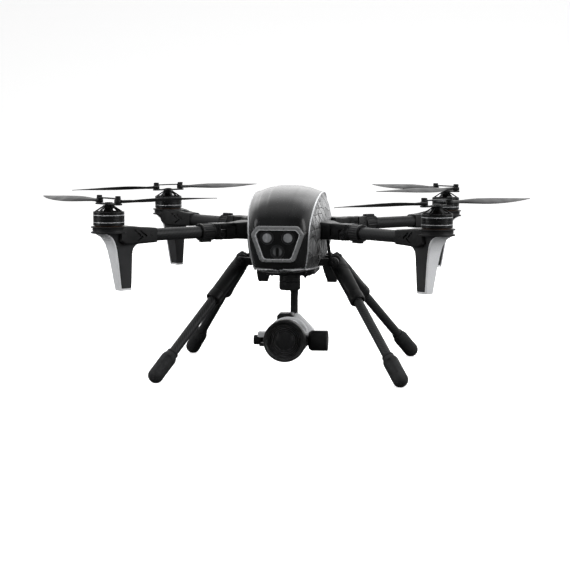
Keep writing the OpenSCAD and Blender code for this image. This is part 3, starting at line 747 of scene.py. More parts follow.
def side_x(y, z, near):
    """How far out the side cover stands at (y, z); near is the closest edge point and its distance."""
    edge, d = near
    full = between(SIDE_PLAN, y) * between(SIDE_RISE, z) * HALF_W / DRAWN_HALF_W
    return edge.x + (max(full, edge.x) - edge.x) * (1 - (1 - min(d / 34, 1)) ** 2.2)


def nearest_edge(y, z):
    """The closest point of the side cover's edge to (y, z), and its distance."""
    best = None
    for i, a in enumerate(EDGE):
        b = EDGE[(i + 1) % len(EDGE)]
        s, q = Vector((b.y - a.y, b.z - a.z)), Vector((y - a.y, z - a.z))
        t = max(0, min(1, q.dot(s) / max(s.dot(s), 1e-9)))
        d = (q - s * t).length
        if best is None or d < best[1]:
            best = (a.lerp(b, t), d)
    return best


def inside(loop, q):
    """Whether the point q is inside the closed loop."""
    hit = False
    for a, b in zip(loop, loop[1:] + loop[:1]):
        if (a.y > q.y) != (b.y > q.y) and q.x < (b.x - a.x) * (q.y - a.y) / (b.y - a.y) + a.x:
            hit = not hit
    return hit


def shard_net():
    """Points and triangles of the side cover in (y, z): its edge and a leaning, shaken grid."""
    rim = [Vector((p.y, p.z)) for p in EDGE[::3]]
    grid = []
    for i in range(-3, 34):
        for j in range(7):
            z = 150 + j * 19 + random.uniform(-6, 6)
            y = -150 + i * 10.5 + (z - 150) * 0.38 + (j % 2) * 5 + random.uniform(-3, 3)
            grid.append(Vector((y, z)))
    points = rim + [q for q in grid if inside(rim, q) and nearest_edge(q.x, q.y)[1] > 4]
    edges = [(i, (i + 1) % len(rim)) for i in range(len(rim))]
    verts, _, faces, *_ = delaunay_2d_cdt(points, edges, [], 1, 1e-4)
    return verts, faces


def side_cover():
    """The right side cover: tilted shards with grooves between them."""
    random.seed(11)
    verts, faces = shard_net()
    bm = bmesh.new()
    made = []
    for q in verts:
        near = nearest_edge(q.x, q.y)
        lift = random.uniform(-0.9, 0.5) if near[1] > 3 else 0
        made.append(bm.verts.new((side_x(q.x, q.y, near) + lift, q.x, q.y)))
    for f in faces:
        bm.faces.new([made[i] for i in f])
    bmesh.ops.recalc_face_normals(bm, faces=bm.faces)
    if sum(f.normal.x for f in bm.faces) < 0:
        bmesh.ops.reverse_faces(bm, faces=bm.faces)
    tone = bm.faces.layers.float.new("facet")
    low = bm.verts.layers.float.new("groove")
    for f in bm.faces:
        f[tone] = random.random()
    corners = set(bm.verts)
    bmesh.ops.inset_individual(bm, faces=bm.faces[:], thickness=0.95, depth=0, use_even_offset=True)
    for v in corners:
        v[low] = 1.0
        v.co.x -= 0.45
    return thicken(bm, SIDE_T)


def screw(r, h, sides=28):
    """A screw head with a socket, standing on z = 0; six sides make a nut."""
    return lathe([(0, -0.6), (r * 0.86, -0.6), (r, 0.2), (r, h - 0.35), (r - 0.35, h), (r * 0.55, h),
                  (r * 0.5, h - 0.15), (r * 0.45, h * 0.35), (0, h * 0.35)], sides)


def antenna_pod(kit, s):
    """A tapered pod that hangs from the belly, with a foot and four ribs on its front."""
    sections = ((124, 47.5, 62, 102, 115), (127, 47, 63, 101, 116.5), (140, 42.5, 65, 98.5, 120.5),
                (156, 38.5, 60, 97, 121.5), (170, 38.5, 54.5, 96.5, 121.5))
    loops = []
    for z, x0, x1, y0, y1 in sections:
        loops.append([(s * x, y, z) for x, y in soft_rect(x0, x1, y0, y1, 3.2)])
    kit.put(loft(loops), 1)
    kit.put(box(s * 55 - 5.5, s * 55 + 5.5, 104, 113, 124, 127, 0.8), 1)
    for k in range(4):
        x, z = s * (58 - k * 1.4), 146 + k * 4.5
        kit.put(box(x - 5, x + 5, 95.9, 99, z, z + 1.4, 0.3), 1)


def bay_box(grow, y0, y1, top_grow=None, edge=0.0):
    """A box round the battery pack, grown sideways and in height."""
    lo, hi = BATTERY_LO, BATTERY_HI
    top = grow if top_grow is None else top_grow
    return box(lo.x - grow, hi.x + grow, y0, y1, lo.z - grow, hi.z + top, edge)


def build_belly():
    """The lower cover with the battery bay's opening, the bay's liner, pods, lamps and slots."""
    y0, y1 = BATTERY_LO.y, BATTERY_HI.y
    kit = Kit(cut(ring_cover(False), [bay_box(BAY_GAP, y1 - 40, y1 + 30)]))
    for s in SIDES:
        antenna_pod(kit, s)
    kit.put(cut(bay_box(2.2, y0 - 1.6, y1 - 2, 2, 0.4), [bay_box(BAY_GAP, y0 - 0.4, y1 + 9)]), 1)
    for s in SIDES:
        kit.put(box(s * 5.2 - 2.6, s * 5.2 + 2.6, -149.6, -144, 163.6, 167.4), 2)
        for k in range(6):
            kit.put(box(s * 25 - 7, s * 25 + 7, -78 + k * 5, -76.2 + k * 5, 153.4, 155.6, 0.3), 1)
    piece("belly", kit, "airframe", [GLOSS, FRAME, EYE], ["belly_shell"], angle=50)


def build_sides():
    """Side covers, the bright line round each, and the bright line that runs in under the chin."""
    for name, s in (("right", 1), ("left", -1)):
        old = ["side_panels"] if s > 0 else ()
        piece("side_cover_" + name, side_cover(), "airframe", [FACETS], old, side_flip(s), 8)
        line = []
        for p in EDGE:
            roof = step(p.z, 235, 262)
            line.append(Vector((s * (p.x + 0.7 - 0.5 * roof), p.y, p.z - 0.8 * roof)))
        lip, sizes = [], []
        for k in range(25):
            t = k / 24
            lip.append(ring_point(CHIN_ROW + 2.2 * t, s * (1 - 0.8 * t)) + Vector((0, -0.7, -0.55)))
            sizes.append(1.25 - 0.6 * t)
        round_cover = sweep(line, 1.35, closed=True, up=(1, 0, 0))
        for kind, bm in (("trim_line_", round_cover), ("chin_line_", sweep(lip, sizes, 10))):
            piece(kind + name, bm, "airframe", [TRIM], angle=180)


def bezel_outline(g):
    """The nose bezel as (x, z), drawn in by g."""
    w, lo, hi = BEZEL_HI.x, BEZEL_LO.z, BEZEL_HI.z
    half = [(w - 14 - g * 0.8, lo + g * 0.8), (w - g * 1.1, hi - 12), (w - 9 - g * 0.55, hi - g)]
    radii = [max(r - g * 0.4, 1.5) for r in (9, 7, 7, 7, 7, 9)]
    return rounded(half + [(-x, z) for x, z in reversed(half)], radii, 7)


def bezel_loft(rows, closed=True):
    """Skins (drawn in by, y) rows of the bezel's outline."""
    return loft([at_y(bezel_outline(g), y) for g, y in rows], closed=closed)


def build_bezel():
    """A stepped frame that runs back into the cover, with a bright inner lip and small screws."""
    y, back = BEZEL_LO.y, BEZEL_HI.y + 9
    kit = Kit(bezel_loft([(0, back), (0, y + 1.4), (0.5, y + 0.5), (1.4, y + 0.1), (4.4, y + 0.35),
                          (5.1, y + 1.1), (5.1, back)]))
    lip = [(5.0, y + 0.9), (5.2, y + 0.2), (5.6, y), (6.1, y + 0.4), (6.3, y + 2.4), (5.0, y + 2.4)]
    kit.put(bezel_loft(lip), 2)
    for x, z in ((BEZEL_HI.x - 5.6, BEZEL_HI.z - 4.4), (BEZEL_HI.x - 14.6, BEZEL_LO.z + 4.6)):
        for s in SIDES:
            kit.put(screw(1.0, 0.7), 1, aim((s * x, y + 0.55, z), (0, -1, 0)))
    piece("bezel", kit, "airframe", [BEZEL, STEEL, BEZEL_LIP], ["nose_bezel"], angle=40)


def build_window():
    """The dark nose window with two round eyes over a third one that has a slit."""
    y = BEZEL_LO.y
    kit = Kit(bezel_loft([(4.9, BEZEL_HI.y + 8), (4.9, y + 2.6), (5.5, y + 2.1)], closed=False))
    for x in (-15, 15):
        eye = aim((x, y + 2.2, (BEZEL_HI.z + BEZEL_LO.z) / 2 + 9), (0, -1, 0))
        ring = [(10, -0.4), (9.9, 0.35), (9.2, 0.5), (8.9, 0.12), (7.3, 0.1), (6.9, 0.5), (6.7, 0.2)]
        kit.put(lathe(ring, 48), 1, eye)
        kit.put(lathe([(6.7, 0.0), (6.4, 0.5), (4.5, 0.95), (2.4, 1.15), (0, 1.2)], 48), 2, eye)
    low = aim((0, y + 2.2, BEZEL_LO.z + 15), (0, -1, 0))
    ring = [(10.4, -0.4), (10.3, 0.5), (9.6, 0.7), (9.2, 0.25), (8.2, 0.15), (7.8, 0.5), (0, 0.5)]
    kit.put(lathe(ring, 48), 1, low)
    kit.put(lathe([(6.6, 0.3), (6.3, 0.75), (4.0, 1.0), (0, 1.05)], 48), 4, low)
    # the slit bar is near black: painted shade
    kit.put(bevel(prism(soft_rect(-2.3, 2.3, -6.4, 6.4, 2.2, 5), 0.6, 1.4), 0.12, 1), 3, low)
    materials = [WINDOW, SATIN, EYE, RECESS_SHADE, EYE_DARK]
    piece("nose_window", kit, "airframe", materials, ["nose_cameras"], angle=40)


def build_body():
    piece("canopy", ring_cover(True), "airframe", [GLOSS], ["top_shell"], angle=50)
    build_belly()
    build_sides()
    build_bezel()
    build_window()


def build_battery():
    """The battery pack: grips, ribs, charge lights and the bore that the power button moves in."""
    lo, hi = BATTERY_LO, BATTERY_HI
    row_z = hi.z - 14  # height of the button and of the charge lights
    bore = aim((18, hi.y - 13, row_z), (0, 1, 0))
    case = box(lo.x, hi.x, lo.y, hi.y - 4, lo.z, hi.z, 2.2, 3)
    end = box(lo.x + 0.1, hi.x - 0.1, hi.y - 6, hi.y, lo.z + 0.1, hi.z - 0.1, 1.6, 3)
    grips = [box(s * 26 - 3, s * 26 + 3, hi.y - 3, hi.y + 2, lo.z + 8, lo.z + 24, 0.6) for s in SIDES]
    kit = Kit(cut(case, [placed(rod(5.35, 0, 20, 0.1), bore)]),
              cut(end, [placed(rod(5.35, 0, 20, 0.1), bore)] + grips))
    for k in range(4):
        kit.put(rod(1.0, -0.4, 0.35, 0.2, 20), 1, aim((-16 + k * 4.4, hi.y, row_z), (0, 1, 0)))
    for k in range(7):
        z = lo.z + 5 + k * 1.9
        kit.put(box(-13, 13, hi.y - 1, hi.y + 0.35, z, z + 0.9, 0.25))
    for k in range(9):
        y = lo.y + 12 + k * 9
        kit.put(box(lo.x + 7, hi.x - 7, y, y + 3.4, hi.z - 0.4, hi.z + 0.35, 0.3))
    piece("battery", kit, "battery", [BATTERY, EYE], ["battery_pack"], angle=40)


def build_button():
    lo, hi = mm_box("power_button")
    r = (hi.x - lo.x) / 2
    face = [(r - 0.35, hi.y - 0.2), (r - 0.9, hi.y), (r - 1.7, hi.y - 0.1), (r - 2.2, hi.y - 0.45),
            (0, hi.y - 0.65)]
    cap = lathe([(0, lo.y), (r - 0.3, lo.y), (r, lo.y + 0.3), (r, hi.y - 0.8)] + face, 48)
    cap = placed(cap, move((lo.x + hi.x) / 2, 0, (lo.z + hi.z) / 2) @ Y_AXIS)
    piece("power_button_cap", cap, "power_button", [BRIGHT], ["power_button"], angle=32)


def build_inside():
    dress("circuit_boards", BOARD)
    dress("gear_motors", STEEL)
    build_battery()
    build_button()


# ------------------------------------------------------------------ arms
# One arm is drawn along +X from the drone's middle, then turned to its corner. PIN_SIDE mirrors it so
# that the fold hinge slants the right way.
PIN_SIDE = {"front_left": 1, "front_right": -1, "rear_left": -1, "rear_right": 1}
RIDGE_UP = {"front_left": -1, "front_right": -1, "rear_left": 1, "rear_right": 1}
BLADE_A_SIDE = {"front_left": -1, "front_right": -1, "rear_left": -1, "rear_right": 1}
BLADE_B_ANGLE = {"front_left": 180, "front_right": 90, "rear_left": 90, "rear_right": 180}
HINGE, MOTOR, BLADE_PIN = (joint_mm(j + "_front_left") for j in ("arm_fold", "rotor_spin", "blade_a_fold"))
HINGE_R, HINGE_Z, MOTOR_R = HINGE.xy.length, HINGE.z, MOTOR.xy.length
BOLT = (BLADE_PIN - MOTOR).xy.length  # from the motor's axis to a blade bolt
HINGE_SLANT = math.asin(abs(Vector(JOINTS["arm_fold_front_left"]["axis"]).xy.dot(HINGE.xy.normalized())))
SLOPE = math.tan(HINGE_SLANT)
MOUNT_TOP = mm_box("motor_mount_front_left")[1].z
HUB_TOP = mm_box("motor_bell_front_left")[1].z
BELL_LOW, BELL_TOP = MOUNT_TOP + 1.6, HUB_TOP - 9.2
WING_LOW = mm_box("winglet_cover_front_left")[0].z
BLADE_LEN = 166.0
HALF_H, FORK = 12.0, 12.0  # half height and half width of the hinge blocks
TONGUE, TONGUE_R = 5.7, 7  # half width and radius of the tongue between the fork's cheeks
KNUCKLE_END = HINGE_R + 13
TUBE_R, SLEEVE_R, COLLAR_R = 9, 10.4, 12.5
DECK_Z = ARM_Z - HALF_H
HINGE_PLACE = move(HINGE_R, 0, 0) @ Matrix.Rotation(-HINGE_SLANT, 4, "Z")
PIN_PLACE = HINGE_PLACE @ move(0, 0, HINGE_Z)


def corner(c):
    x, y, _ = JOINTS["rotor_spin_" + c]["pos_m"]
    return Matrix.Rotation(math.atan2(y, x), 4, "Z") @ Matrix.Diagonal((1, PIN_SIDE[c], 1, 1))


def along_arm(bm):
    """Lays a lathe made round Z along the arm."""
    return placed(bm, move(0, 0, ARM_Z) @ X_AXIS)


def cross(y0, y1, r):
    """A bar along the hinge pin."""
    return placed(rod(r, y0, y1, 0.3, 48), PIN_PLACE @ Y_AXIS)


def slanted(x0, x1, w):
    """A plan whose outer end is cut along the hinge pin's slant."""
    return [(x0, -w), (x1 - w * SLOPE, -w), (x1 + w * SLOPE, w), (x0, w)]


def arm_root(kit, place):
    """The fixed half of a fold hinge: a beam with a pocket in each flank, a round tongue and a cowl."""
    w, top = FORK - 0.5, ARM_Z + HALF_H
    beam = bevel(prism(slanted(40, HINGE_R - 8.6 / math.cos(HINGE_SLANT), w), DECK_Z, top), 1.6, 3)
    lip = bevel(prism(slanted(60, HINGE_R - 0.9, w), HINGE_Z + 8.3, top), 1.4, 3)
    hollows = [box(92, 112, s * w - 1.2, s * w + 1.2, ARM_Z - 6.5, ARM_Z + 6.5, 0.8) for s in SIDES]
    hollows.append(box(86, 118, -6, 6, top - 1.2, top + 3, 0.8))
    web = box(-15, 0, -TONGUE, TONGUE, HINGE_Z - TONGUE_R, HINGE_Z + TONGUE_R, 0.4)
    # (distance out, half width, half height) of the cowl that narrows from the body to the hinge
    sections = ((72, 23.5, 13.4), (80, 22.5, 13.4), (87, 20, 13.2), (93, 16.8, 12.9), (99, 14, 12.5),
                (105, 12.3, 12.2), (109, 11.6, 12.0))
    cowl = [at_x(soft_rect(-cw, cw, ARM_Z - h, ARM_Z + h, 4, 5), x) for x, cw, h in sections]
    tongue = cross(-TONGUE, TONGUE, TONGUE_R)
    for bm in (cut(beam, hollows), lip, tongue, placed(web, HINGE_PLACE), loft(cowl)):
        kit.put(bm, 0, place)
    for x in (96, 108):
        kit.put(screw(2.4, 1.6), 1, place @ move(x, 0, top - 1.4))


def leg_bracket(kit, s, end, pivot):
    """One of the four arms that hold the leg shafts, with its ring; the right front one has two struts."""
    px, pz = pivot.x, pivot.z
    y = pivot.y + end * 29
    outline = [(34, pz - 5), (px, pz - 6.4), (px, pz + 6.4), (50, pz + 5), (40, pz + 16), (38, DECK_Z + 1),
               (34, DECK_Z + 1)]
    arm = placed(prism(rounded(outline, 2.5, 4), -5, 5), move(0, y, 0) @ rot("X", 90))
    kit.put(bevel(arm, 0.7), 0, side_flip(s))
    kit.put(placed(rod(6.8, -6, 6, 0.8, 48), move(px, y, pz) @ rot("X", 90)), 0, side_flip(s))
    for k in (0, 1) if (s > 0 > end) else ():
        top = Vector((61 + 2 * k, y + end * (12 + 4 * k), DECK_Z + 2))
        foot = Vector((64 + 3 * k, y + end * (3 + 2 * k), pz + 5))
        kit.put(sweep([top, foot], 1.3, 10), 0, side_flip(s))
    ring = lathe([(5.2, 0), (6.6, 0), (6.6, 0.5), (5.4, 0.8), (5.2, 0.6)], 40, closed=True)
    kit.put(ring, 1, side_flip(s) @ aim((px, y + end * 6, pz), (0, end, 0)))


def build_frame():
    """The casting inside the body that carries the arm hinges and the leg shafts."""
    holes = []
    for y in (-100, -66, 66):
        holes.append(prism(soft_rect(-16, 16, y, y + 22, 6, 5), DECK_Z - 2, DECK_Z + 8))
    deck = prism(soft_rect(-38, 38, -120, 120, 10, 6), DECK_Z, DECK_Z + 4)
    kit = Kit(cut(bevel(deck, 0.7), holes))
    for c in CORNERS:
        arm_root(kit, corner(c))
    for s in SIDES:
        for end in SIDES:
            leg_bracket(kit, s, end, joint_mm("leg_retract_right"))
    piece("airframe_casting", kit, "airframe", [ARM, BLACKED], ["main_frame"])
    pins = Kit()
    for c in CORNERS:
        pin = corner(c) @ PIN_PLACE
        pins.put(rod(3, -FORK + 0.2, FORK + 0.4), 0, pin @ Y_AXIS)
        pins.put(screw(4.9, 1.8), 0, pin @ move(0, FORK + 0.15, 0) @ Y_AXIS)
    piece("hinge_screws", pins, "airframe", [BLACKED], ["hinge_pins"])


def build_knuckle(c, place):
    """The moving half of the hinge: a forked block, cheeks round the tongue, a latch and a sleeve."""
    low, high = DECK_Z + 0.5, ARM_Z + HALF_H
    w, end = FORK - 0.05, KNUCKLE_END - 0.05
    inner = HINGE_R + 0.1
    outline = [(inner - w * SLOPE, -w), (end, -w), (end, w), (inner + w * SLOPE, w)]
    block = bevel(prism(rounded(outline, [0.6, 2.5, 2.5, 0.6], 4), low, high), 1.5, 3, 50)
    slot = placed(box(-20, 7.9, -6.05, 6.05, low - 6, HINGE_Z + 8.1, 0), HINGE_PLACE)
    bore = placed(rod(5.5, FORK, FORK + 14, 0.1), PIN_PLACE @ Y_AXIS)
    groove_x = KNUCKLE_END - 3.6
    grooves = [box(groove_x, groove_x + 1.4, s * w - 0.6, s * w + 0.6, low - 1, high + 1, 0) for s in SIDES]
    kit = Kit(cut(block, [slot, bore] + grooves))
    for s in SIDES:
        for k in range(4):
            y, z = sorted((s * (w - 0.3), s * (w + 0.7))), ARM_Z - 8.2 + k * 5.2
            kit.put(box(HINGE_R + 6.5, KNUCKLE_END - 4.6, *y, z, z + 2.6, 0.4))
    for s in SIDES:
        kit.put(cross(*sorted((s * 6.05, s * 11.95)), 6.95))
    kit.put(along_arm(tube(SLEEVE_R, TUBE_R + 0.02, KNUCKLE_END - 1, KNUCKLE_END + 22)))
    latch = soft_rect(HINGE_R + 5, KNUCKLE_END - 4.5, -3.6, 3.6, 1.4)
    kit.put(prism(latch, high - 0.6, high - 0.02), 1)
    piece("knuckle_" + c, kit, "arm_" + c, [ARM, STEEL], ["arm_knuckle_" + c], place)


def flute(bm, bite, r_min, z_min=-math.inf, z_max=math.inf):
    """Presses twenty flutes into a lathe beyond r_min; bite shapes them from a wave of -1 to 1."""
    for v in bm.verts:
        if math.hypot(v.co.x, v.co.y) > r_min and z_min < v.co.z < z_max:
            k = 1 - 0.05 * bite(math.cos(math.atan2(v.co.y, v.co.x) * 20))
            v.co.x *= k
            v.co.y *= k
    return bm


def build_collar(c, place):
    """The twist collar: a fluted ring with one raised, ribbed thumb ridge, above or below the arm."""
    up, r = RIDGE_UP[c], COLLAR_R
    a, b = KNUCKLE_END + 0.3, KNUCKLE_END + 24
    ring = lathe([(10.46, a), (r - 0.6, a), (r, a + 0.6), (r, a + 2.6), (r - 0.4, a + 3.1),
                  (r - 0.4, b - 4.4), (r, b - 3.8), (r, b - 1), (r - 0.6, b - 0.3), (10.46, b - 0.3)],
                 96, closed=True)
    kit = Kit(along_arm(flute(ring, lambda wave: step(wave, -0.2, 0.5), 12, a + 2.9, b - 4.2)))
    ridge = soft_rect(a + 2.8, b - 2.2, -4, 4, 2.2, 5)
    kit.put(bevel(prism(ridge, *sorted((ARM_Z + up * 10.6, ARM_Z + up * 14.9))), 0.9, 3, 50))
    for k in range(5):
        x, top = a + 6 + k * 2.8, ARM_Z + up * 14.75
        kit.put(box(x, x + 1.1, -3, 3, top - 0.2, top + 0.25, 0.15))
    piece("twist_collar_" + c, kit, "collar_" + c, [ARM], ["locking_collar_" + c], place)


# Height above the foot of the winglet, and there its inner x, outer x and half width
WING = [
    (0, -33.2, -13.4, 6.6), (12, -33.1, -11.4, 7.5), (38, -32.7, -7.2, 9.5), (56, -32.3, -3.6, 11.0),
    (66, -32.4, -0.6, 12.1), (72, -33.4, 2.6, 13.2), (76.5, -35.0, 6.2, 14.0), (80, -37.0, 11.6, 14.8),
    (82.4, -38.5, 17.6, 15.4),
]
# The fairing's chevron slots: distance from the motor's axis, sideways, up, tilt, length
CHEVRONS = ((-50, 12.4, 3.5, -34, 15), (-39, 15.0, 4.5, -34, 15), (-44, 12.4, -3.5, 28, 12))
# Distance from the motor's axis, half width, depth below and height above the arm's axis
FAIRING = [
    (-75, 10.4, 10.4, 10.4), (-72, 10.9, 10.7, 10.7), (-60, 11.4, 11.0, 11.4), (-48, 12.4, 11.3, 12.6),
    (-36, 15.2, 11.5, 14.2), (-26, 18.4, 11.6, 14.95), (-16, 20.6, 10.8, 14.95), (-8, 20.9, 6.0, 14.95),
]


def motor_drum():
    t, base = MOUNT_TOP, MOUNT_TOP - 9.5
    upper = [(0, t - 3), (20.6, t - 3), (21, t - 2.6), (21, t - 0.3), (21.3, t), (25.1, t), (25.5, t - 0.4),
             (25.5, t - 1.4), (25.2, t - 1.7)]
    waist = [(23.2, t - 2.1), (23, t - 2.5), (23, t - 3.6), (23.4, t - 3.9), (23.4, t - 4.5), (23, t - 4.8),
             (23, t - 7), (23.3, t - 7.5)]
    lower = [(25.2, t - 7.6), (25.5, t - 7.9), (25.5, base + 0.3), (25.2, base), (0, base)]
    return lathe(upper + waist + lower, 96)


def fairing():
    """The tube clamp that swells into the motor drum, with chevron slots and a cable slot on top."""
    r = MOTOR_R
    loops = [at_x(soft_rect(-w, w, ARM_Z - down, ARM_Z + up, 3.4, 5), r + x) for x, w, down, up in FAIRING]
    tools = []
    for s in SIDES:
        for x, y, z, tilt, length in CHEVRONS:
            place = move(r + x, s * y, ARM_Z + z) @ rot("Z", s * 15) @ rot("Y", tilt)
            tools.append(placed(box(-length / 2, length / 2, -2.2, 2.2, -1.5, 1.5, 0), place))
        tools.append(placed(rod(1.6, -4, 4, 0.1, 24), move(r - 64, s * 11.4, ARM_Z + 1) @ rot("X", 90)))
    tools.append(box(r - 58, r - 40, -4.5, 4.5, ARM_Z + 11.2, ARM_Z + 20, 0))
    tools.append(along_arm(rod(TUBE_R + 0.02, r - 80, r - 29, 0.1)))
    return cut(loft(loops), tools)


def clamp_fillet():
    """A soft fillet where the winglet meets the tube clamp."""
    loops = []
    for k in range(9):
        a = math.pi / 2 * k / 8
        z = ARM_Z - 11.2 - 13 * (1 - math.cos(a))
        outline = soft_rect(-9.8, 9.8, z, ARM_Z - 8, 1.2, 3)
        loops.append(at_x(outline, MOTOR_R - 33 - 13 * (1 - math.sin(a))))
    return loft(loops[::-1])


def build_mount(c, place):
    r = MOTOR_R
    kit = Kit()
    kit.put(motor_drum(), 0, move(r, 0, 0))
    kit.put(fairing())
    for s in SIDES:
        kit.put(screw(1.5, 0.6), 2, move(r - 64, s * 10.4, ARM_Z + 1) @ rot("X", -90 * s))
    # the dark half of the winglet, which starts just above the silver foot
    loops = []
    for h, x0, x1, w in WING:
        loops.append(at_z(soft_rect(r + x0, r + x1 - 3.5, -w, w, 1.5), WING_LOW + max(h, 3.2)))
    kit.put(loft(loops), 1)
    kit.put(loft([at_z(soft_rect(r - 38.5, r + 14.2, -15.4, 15.4, 3), WING_LOW + 82.2),
                  at_z(soft_rect(r - 40, r + 16, -15.6, 15.6, 3), MOUNT_TOP - 9.1)]), 1)
    kit.put(clamp_fillet(), 1)
    materials = [MOUNT, WING_DARK, BLACKED]
    piece("mount_" + c, kit, "arm_" + c, materials, ["motor_mount_" + c], place, 38)


def build_winglet(c, place):
    """The silver cover: the outward face of the winglet and its foot."""
    r = MOTOR_R
    loops = []
    for h, _, x1, w in WING:
        edge = min(2.2, w * 0.3)
        outline = rounded(rect(r + x1 - 3.2, r + x1, -w, w), [0.2, edge, edge, 0.2], 5)
        loops.append(at_z(outline, WING_LOW + max(h, 0.3)))
    foot = soft_rect(r - 33.3, r - 13.6, -6.6, 6.6, [1.6, 2, 2, 1.6])
    kit = Kit(loft(loops), bevel(prism(foot, WING_LOW, WING_LOW + 2.9), 0.5, 2, 50))
    piece("winglet_" + c, kit, "arm_" + c, [WINGLET], ["winglet_cover_" + c], place, 38)


def bell_wall():
    """The motor's outer wall, with two bright bands, a fine groove and a rolled rim."""
    b, t, r = BELL_LOW, BELL_TOP, 22
    h = t - b
    profile = [(20.2, b), (21.7, b), (r, b + 0.3)]
    for low, high, inner in ((0.205, 0.25, 21.8), (0.47, 0.495, 21.85), (0.725, 0.77, 21.8)):
        profile += [(r, b + h * low), (inner, b + h * (low + 0.005)),
                    (inner, b + h * (high - 0.005)), (r, b + h * high)]
    profile += [(r, t - 1.7), (21.7, t - 1.5), (21.7, t - 1.2), (r, t - 1.0), (r, t - 0.3), (21.6, t),
                (20.4, t), (20.2, t - 0.3)]
    wall = lathe(profile, 96, closed=True)
    for f in wall.faces:
        share = (f.calc_center_median().z - b) / h
        outer = math.hypot(f.verts[0].co.x, f.verts[0].co.y) > 21
        if outer and (0.205 < share < 0.25 or 0.725 < share < 0.77):
            f.material_index = 1
    return wall


def build_bell(c, place):
    """The spoked motor bell, its shaft and the magnets inside."""
    top = HUB_TOP
    kit = Kit()
    kit.put(bell_wall(), None)
    spoke = [(5, top - 3.8), (5, top - 0.9), (7.4, top - 0.8), (21.2, BELL_TOP - 0.4), (20.6, BELL_TOP - 2.6),
             (8.6, top - 3.6)]
    for k in range(6):
        kit.put(bevel(placed(prism(spoke, -1.7, 1.7), rot("X", 90)), 0.5), 0, rot("Z", 60 * k + 15))
    cap = [(0, top - 5), (7.6, top - 5), (8, top - 4.6), (8, top - 1.0), (7.5, top - 0.4), (4, top - 0.2),
           (0, top - 0.2)]
    kit.put(lathe(cap, 48))
    kit.put(rod(2.5, MOUNT_TOP + 2, top - 1, 0.2, 32), 2)
    boss = [(2.4, top - 12), (4.6, top - 12), (5.2, top - 11), (6.4, top - 5), (2.4, top - 5)]
    kit.put(lathe(boss, 40, closed=True))
    # the magnets are near black: painted shade inside the bell
    for k in range(12):
        kit.put(box(18.6, 20.25, -3.4, 3.4, BELL_LOW + 2.6, BELL_TOP - 3.4, 0.25), 3, rot("Z", 30 * k))
    materials = [BELL, BRIGHT, STEEL, RECESS_SHADE]
    at_motor = place @ move(MOTOR_R, 0, 0)
    piece("bell_" + c, kit, "rotor_" + c, materials, ["motor_bell_" + c], at_motor)


def stadium(w, n=14):
    """A bar with round ends that reaches from blade bolt to blade bolt."""
    points = []
    for s in (1, -1):
        for k in range(n + 1):
            a = math.pi * k / n
            points.append((s * w * math.cos(a), s * (BOLT + w * math.sin(a))))
    return points


def build_hub(c, place):
    """The propeller hub: a dished plate, a thin upper bar, and two bolts with nuts."""
    z = HUB_TOP + 0.1
    dish = [(0, z + 0.05), (6.4, z + 0.05), (9, z + 0.5), (9, z + 2.0), (8.4, z + 2.5), (5.5, z + 2.7),
            (4.8, z + 3.6), (0, z + 3.8)]
    washer = [(0, z - 0.04), (3.2, z - 0.04), (3.4, z + 0.1), (3.4, z + 0.3), (0, z + 0.3)]
    kit = Kit(bevel(prism(stadium(5.9), z, z + 2.1), 0.45, 2, 50),
              bevel(prism(stadium(4.1), z + 8.35, z + 10.1), 0.35, 2, 50), lathe(dish, 48))
    for s in SIDES:
        at_bolt = move(0, s * BOLT, 0)
        kit.put(rod(2, z, z + 10.8, 0.2, 32), 1, at_bolt)
        kit.put(screw(4.3, 3.0, 6), 2, move(0, s * BOLT, z + 10.0))
        kit.put(lathe(washer, 32), 1, at_bolt)
    for s in SIDES:
        kit.put(screw(1.3, 0.9), 1, move(s * 5.6, 0, z + 2.4))
    at_motor = place @ move(MOTOR_R, 0, 0)
    piece("hub_" + c, kit, "rotor_" + c, [FRAME, STEEL, BLACKED], ["prop_hub_" + c], at_motor)


def chord(s):
    """The blade's width at the share s of its length."""
    if s < 0.12:
        return 9.0
    if s < 0.45:
        return 9 + 21 * math.sin(math.pi / 2 * (s - 0.12) / 0.33)
    return 2.5 + 27.5 * math.cos(math.pi / 2 * ((s - 0.45) / 0.55) ** 1.1)


def blade_section(s, n=28):
    """A twisted, cambered section at the share s of the blade's length; the neck's is an oval."""
    full = c = chord(s)
    if s > 0.95:
        c *= math.sqrt(max(0.02, 1 - ((s - 0.95) / 0.05) ** 2 * 0.9))
    neck = s < 0.1
    t = 4.1 if neck else (4.1 - 2.7 * s) * (1 - 0.25 * step(s, 0.05, 0.3))
    twist = Matrix.Rotation(math.radians(-(18 - 12 * s)), 2)
    lead = -7.78 + full * 0.42
    row = []
    for k in range(n):
        a = 2 * math.pi * k / n
        u = math.cos(a)
        full_nose = (0.72 + 0.28 * math.sqrt(max(0, 1 - u * u))) * (1 - 0.25 * max(0, -u))
        thick = t / 2 * math.sin(a) * (1.0 if neck else full_nose)
        camber = 0.025 * c * (1 - u * u) * step(s, 0.1, 0.3)
        y, z = twist @ Vector((c / 2 * u, thick + camber))
        row.append((s * BLADE_LEN, lead + y, z))
    return row


def blade_mesh():
    """A blade along +X from its bolt: a round eye, a neck and the aerofoil."""
    stations = [0.018, 0.05, 0.09, 0.13, 0.18, 0.24, 0.31, 0.38, 0.45, 0.53, 0.61, 0.69, 0.77, 0.84, 0.9,
                0.945, 0.975, 0.99, 0.9975]
    eye = lathe([(2.06, -2.8), (4.9, -2.8), (5.4, -2.4), (5.4, 2.4), (4.9, 2.8), (2.06, 2.8)],
                48, closed=True)
    uv = eye.loops.layers.uv.active
    for f in eye.faces:
        for lp in f.loops:
            lp[uv].uv = (0.25, 0)
    collar = lathe([(2.06, 2.7), (3.2, 2.7), (3.4, 2.85), (2.06, 2.85)], 40, closed=True)
    return Kit(loft([blade_section(s) for s in stations]), eye, collar)


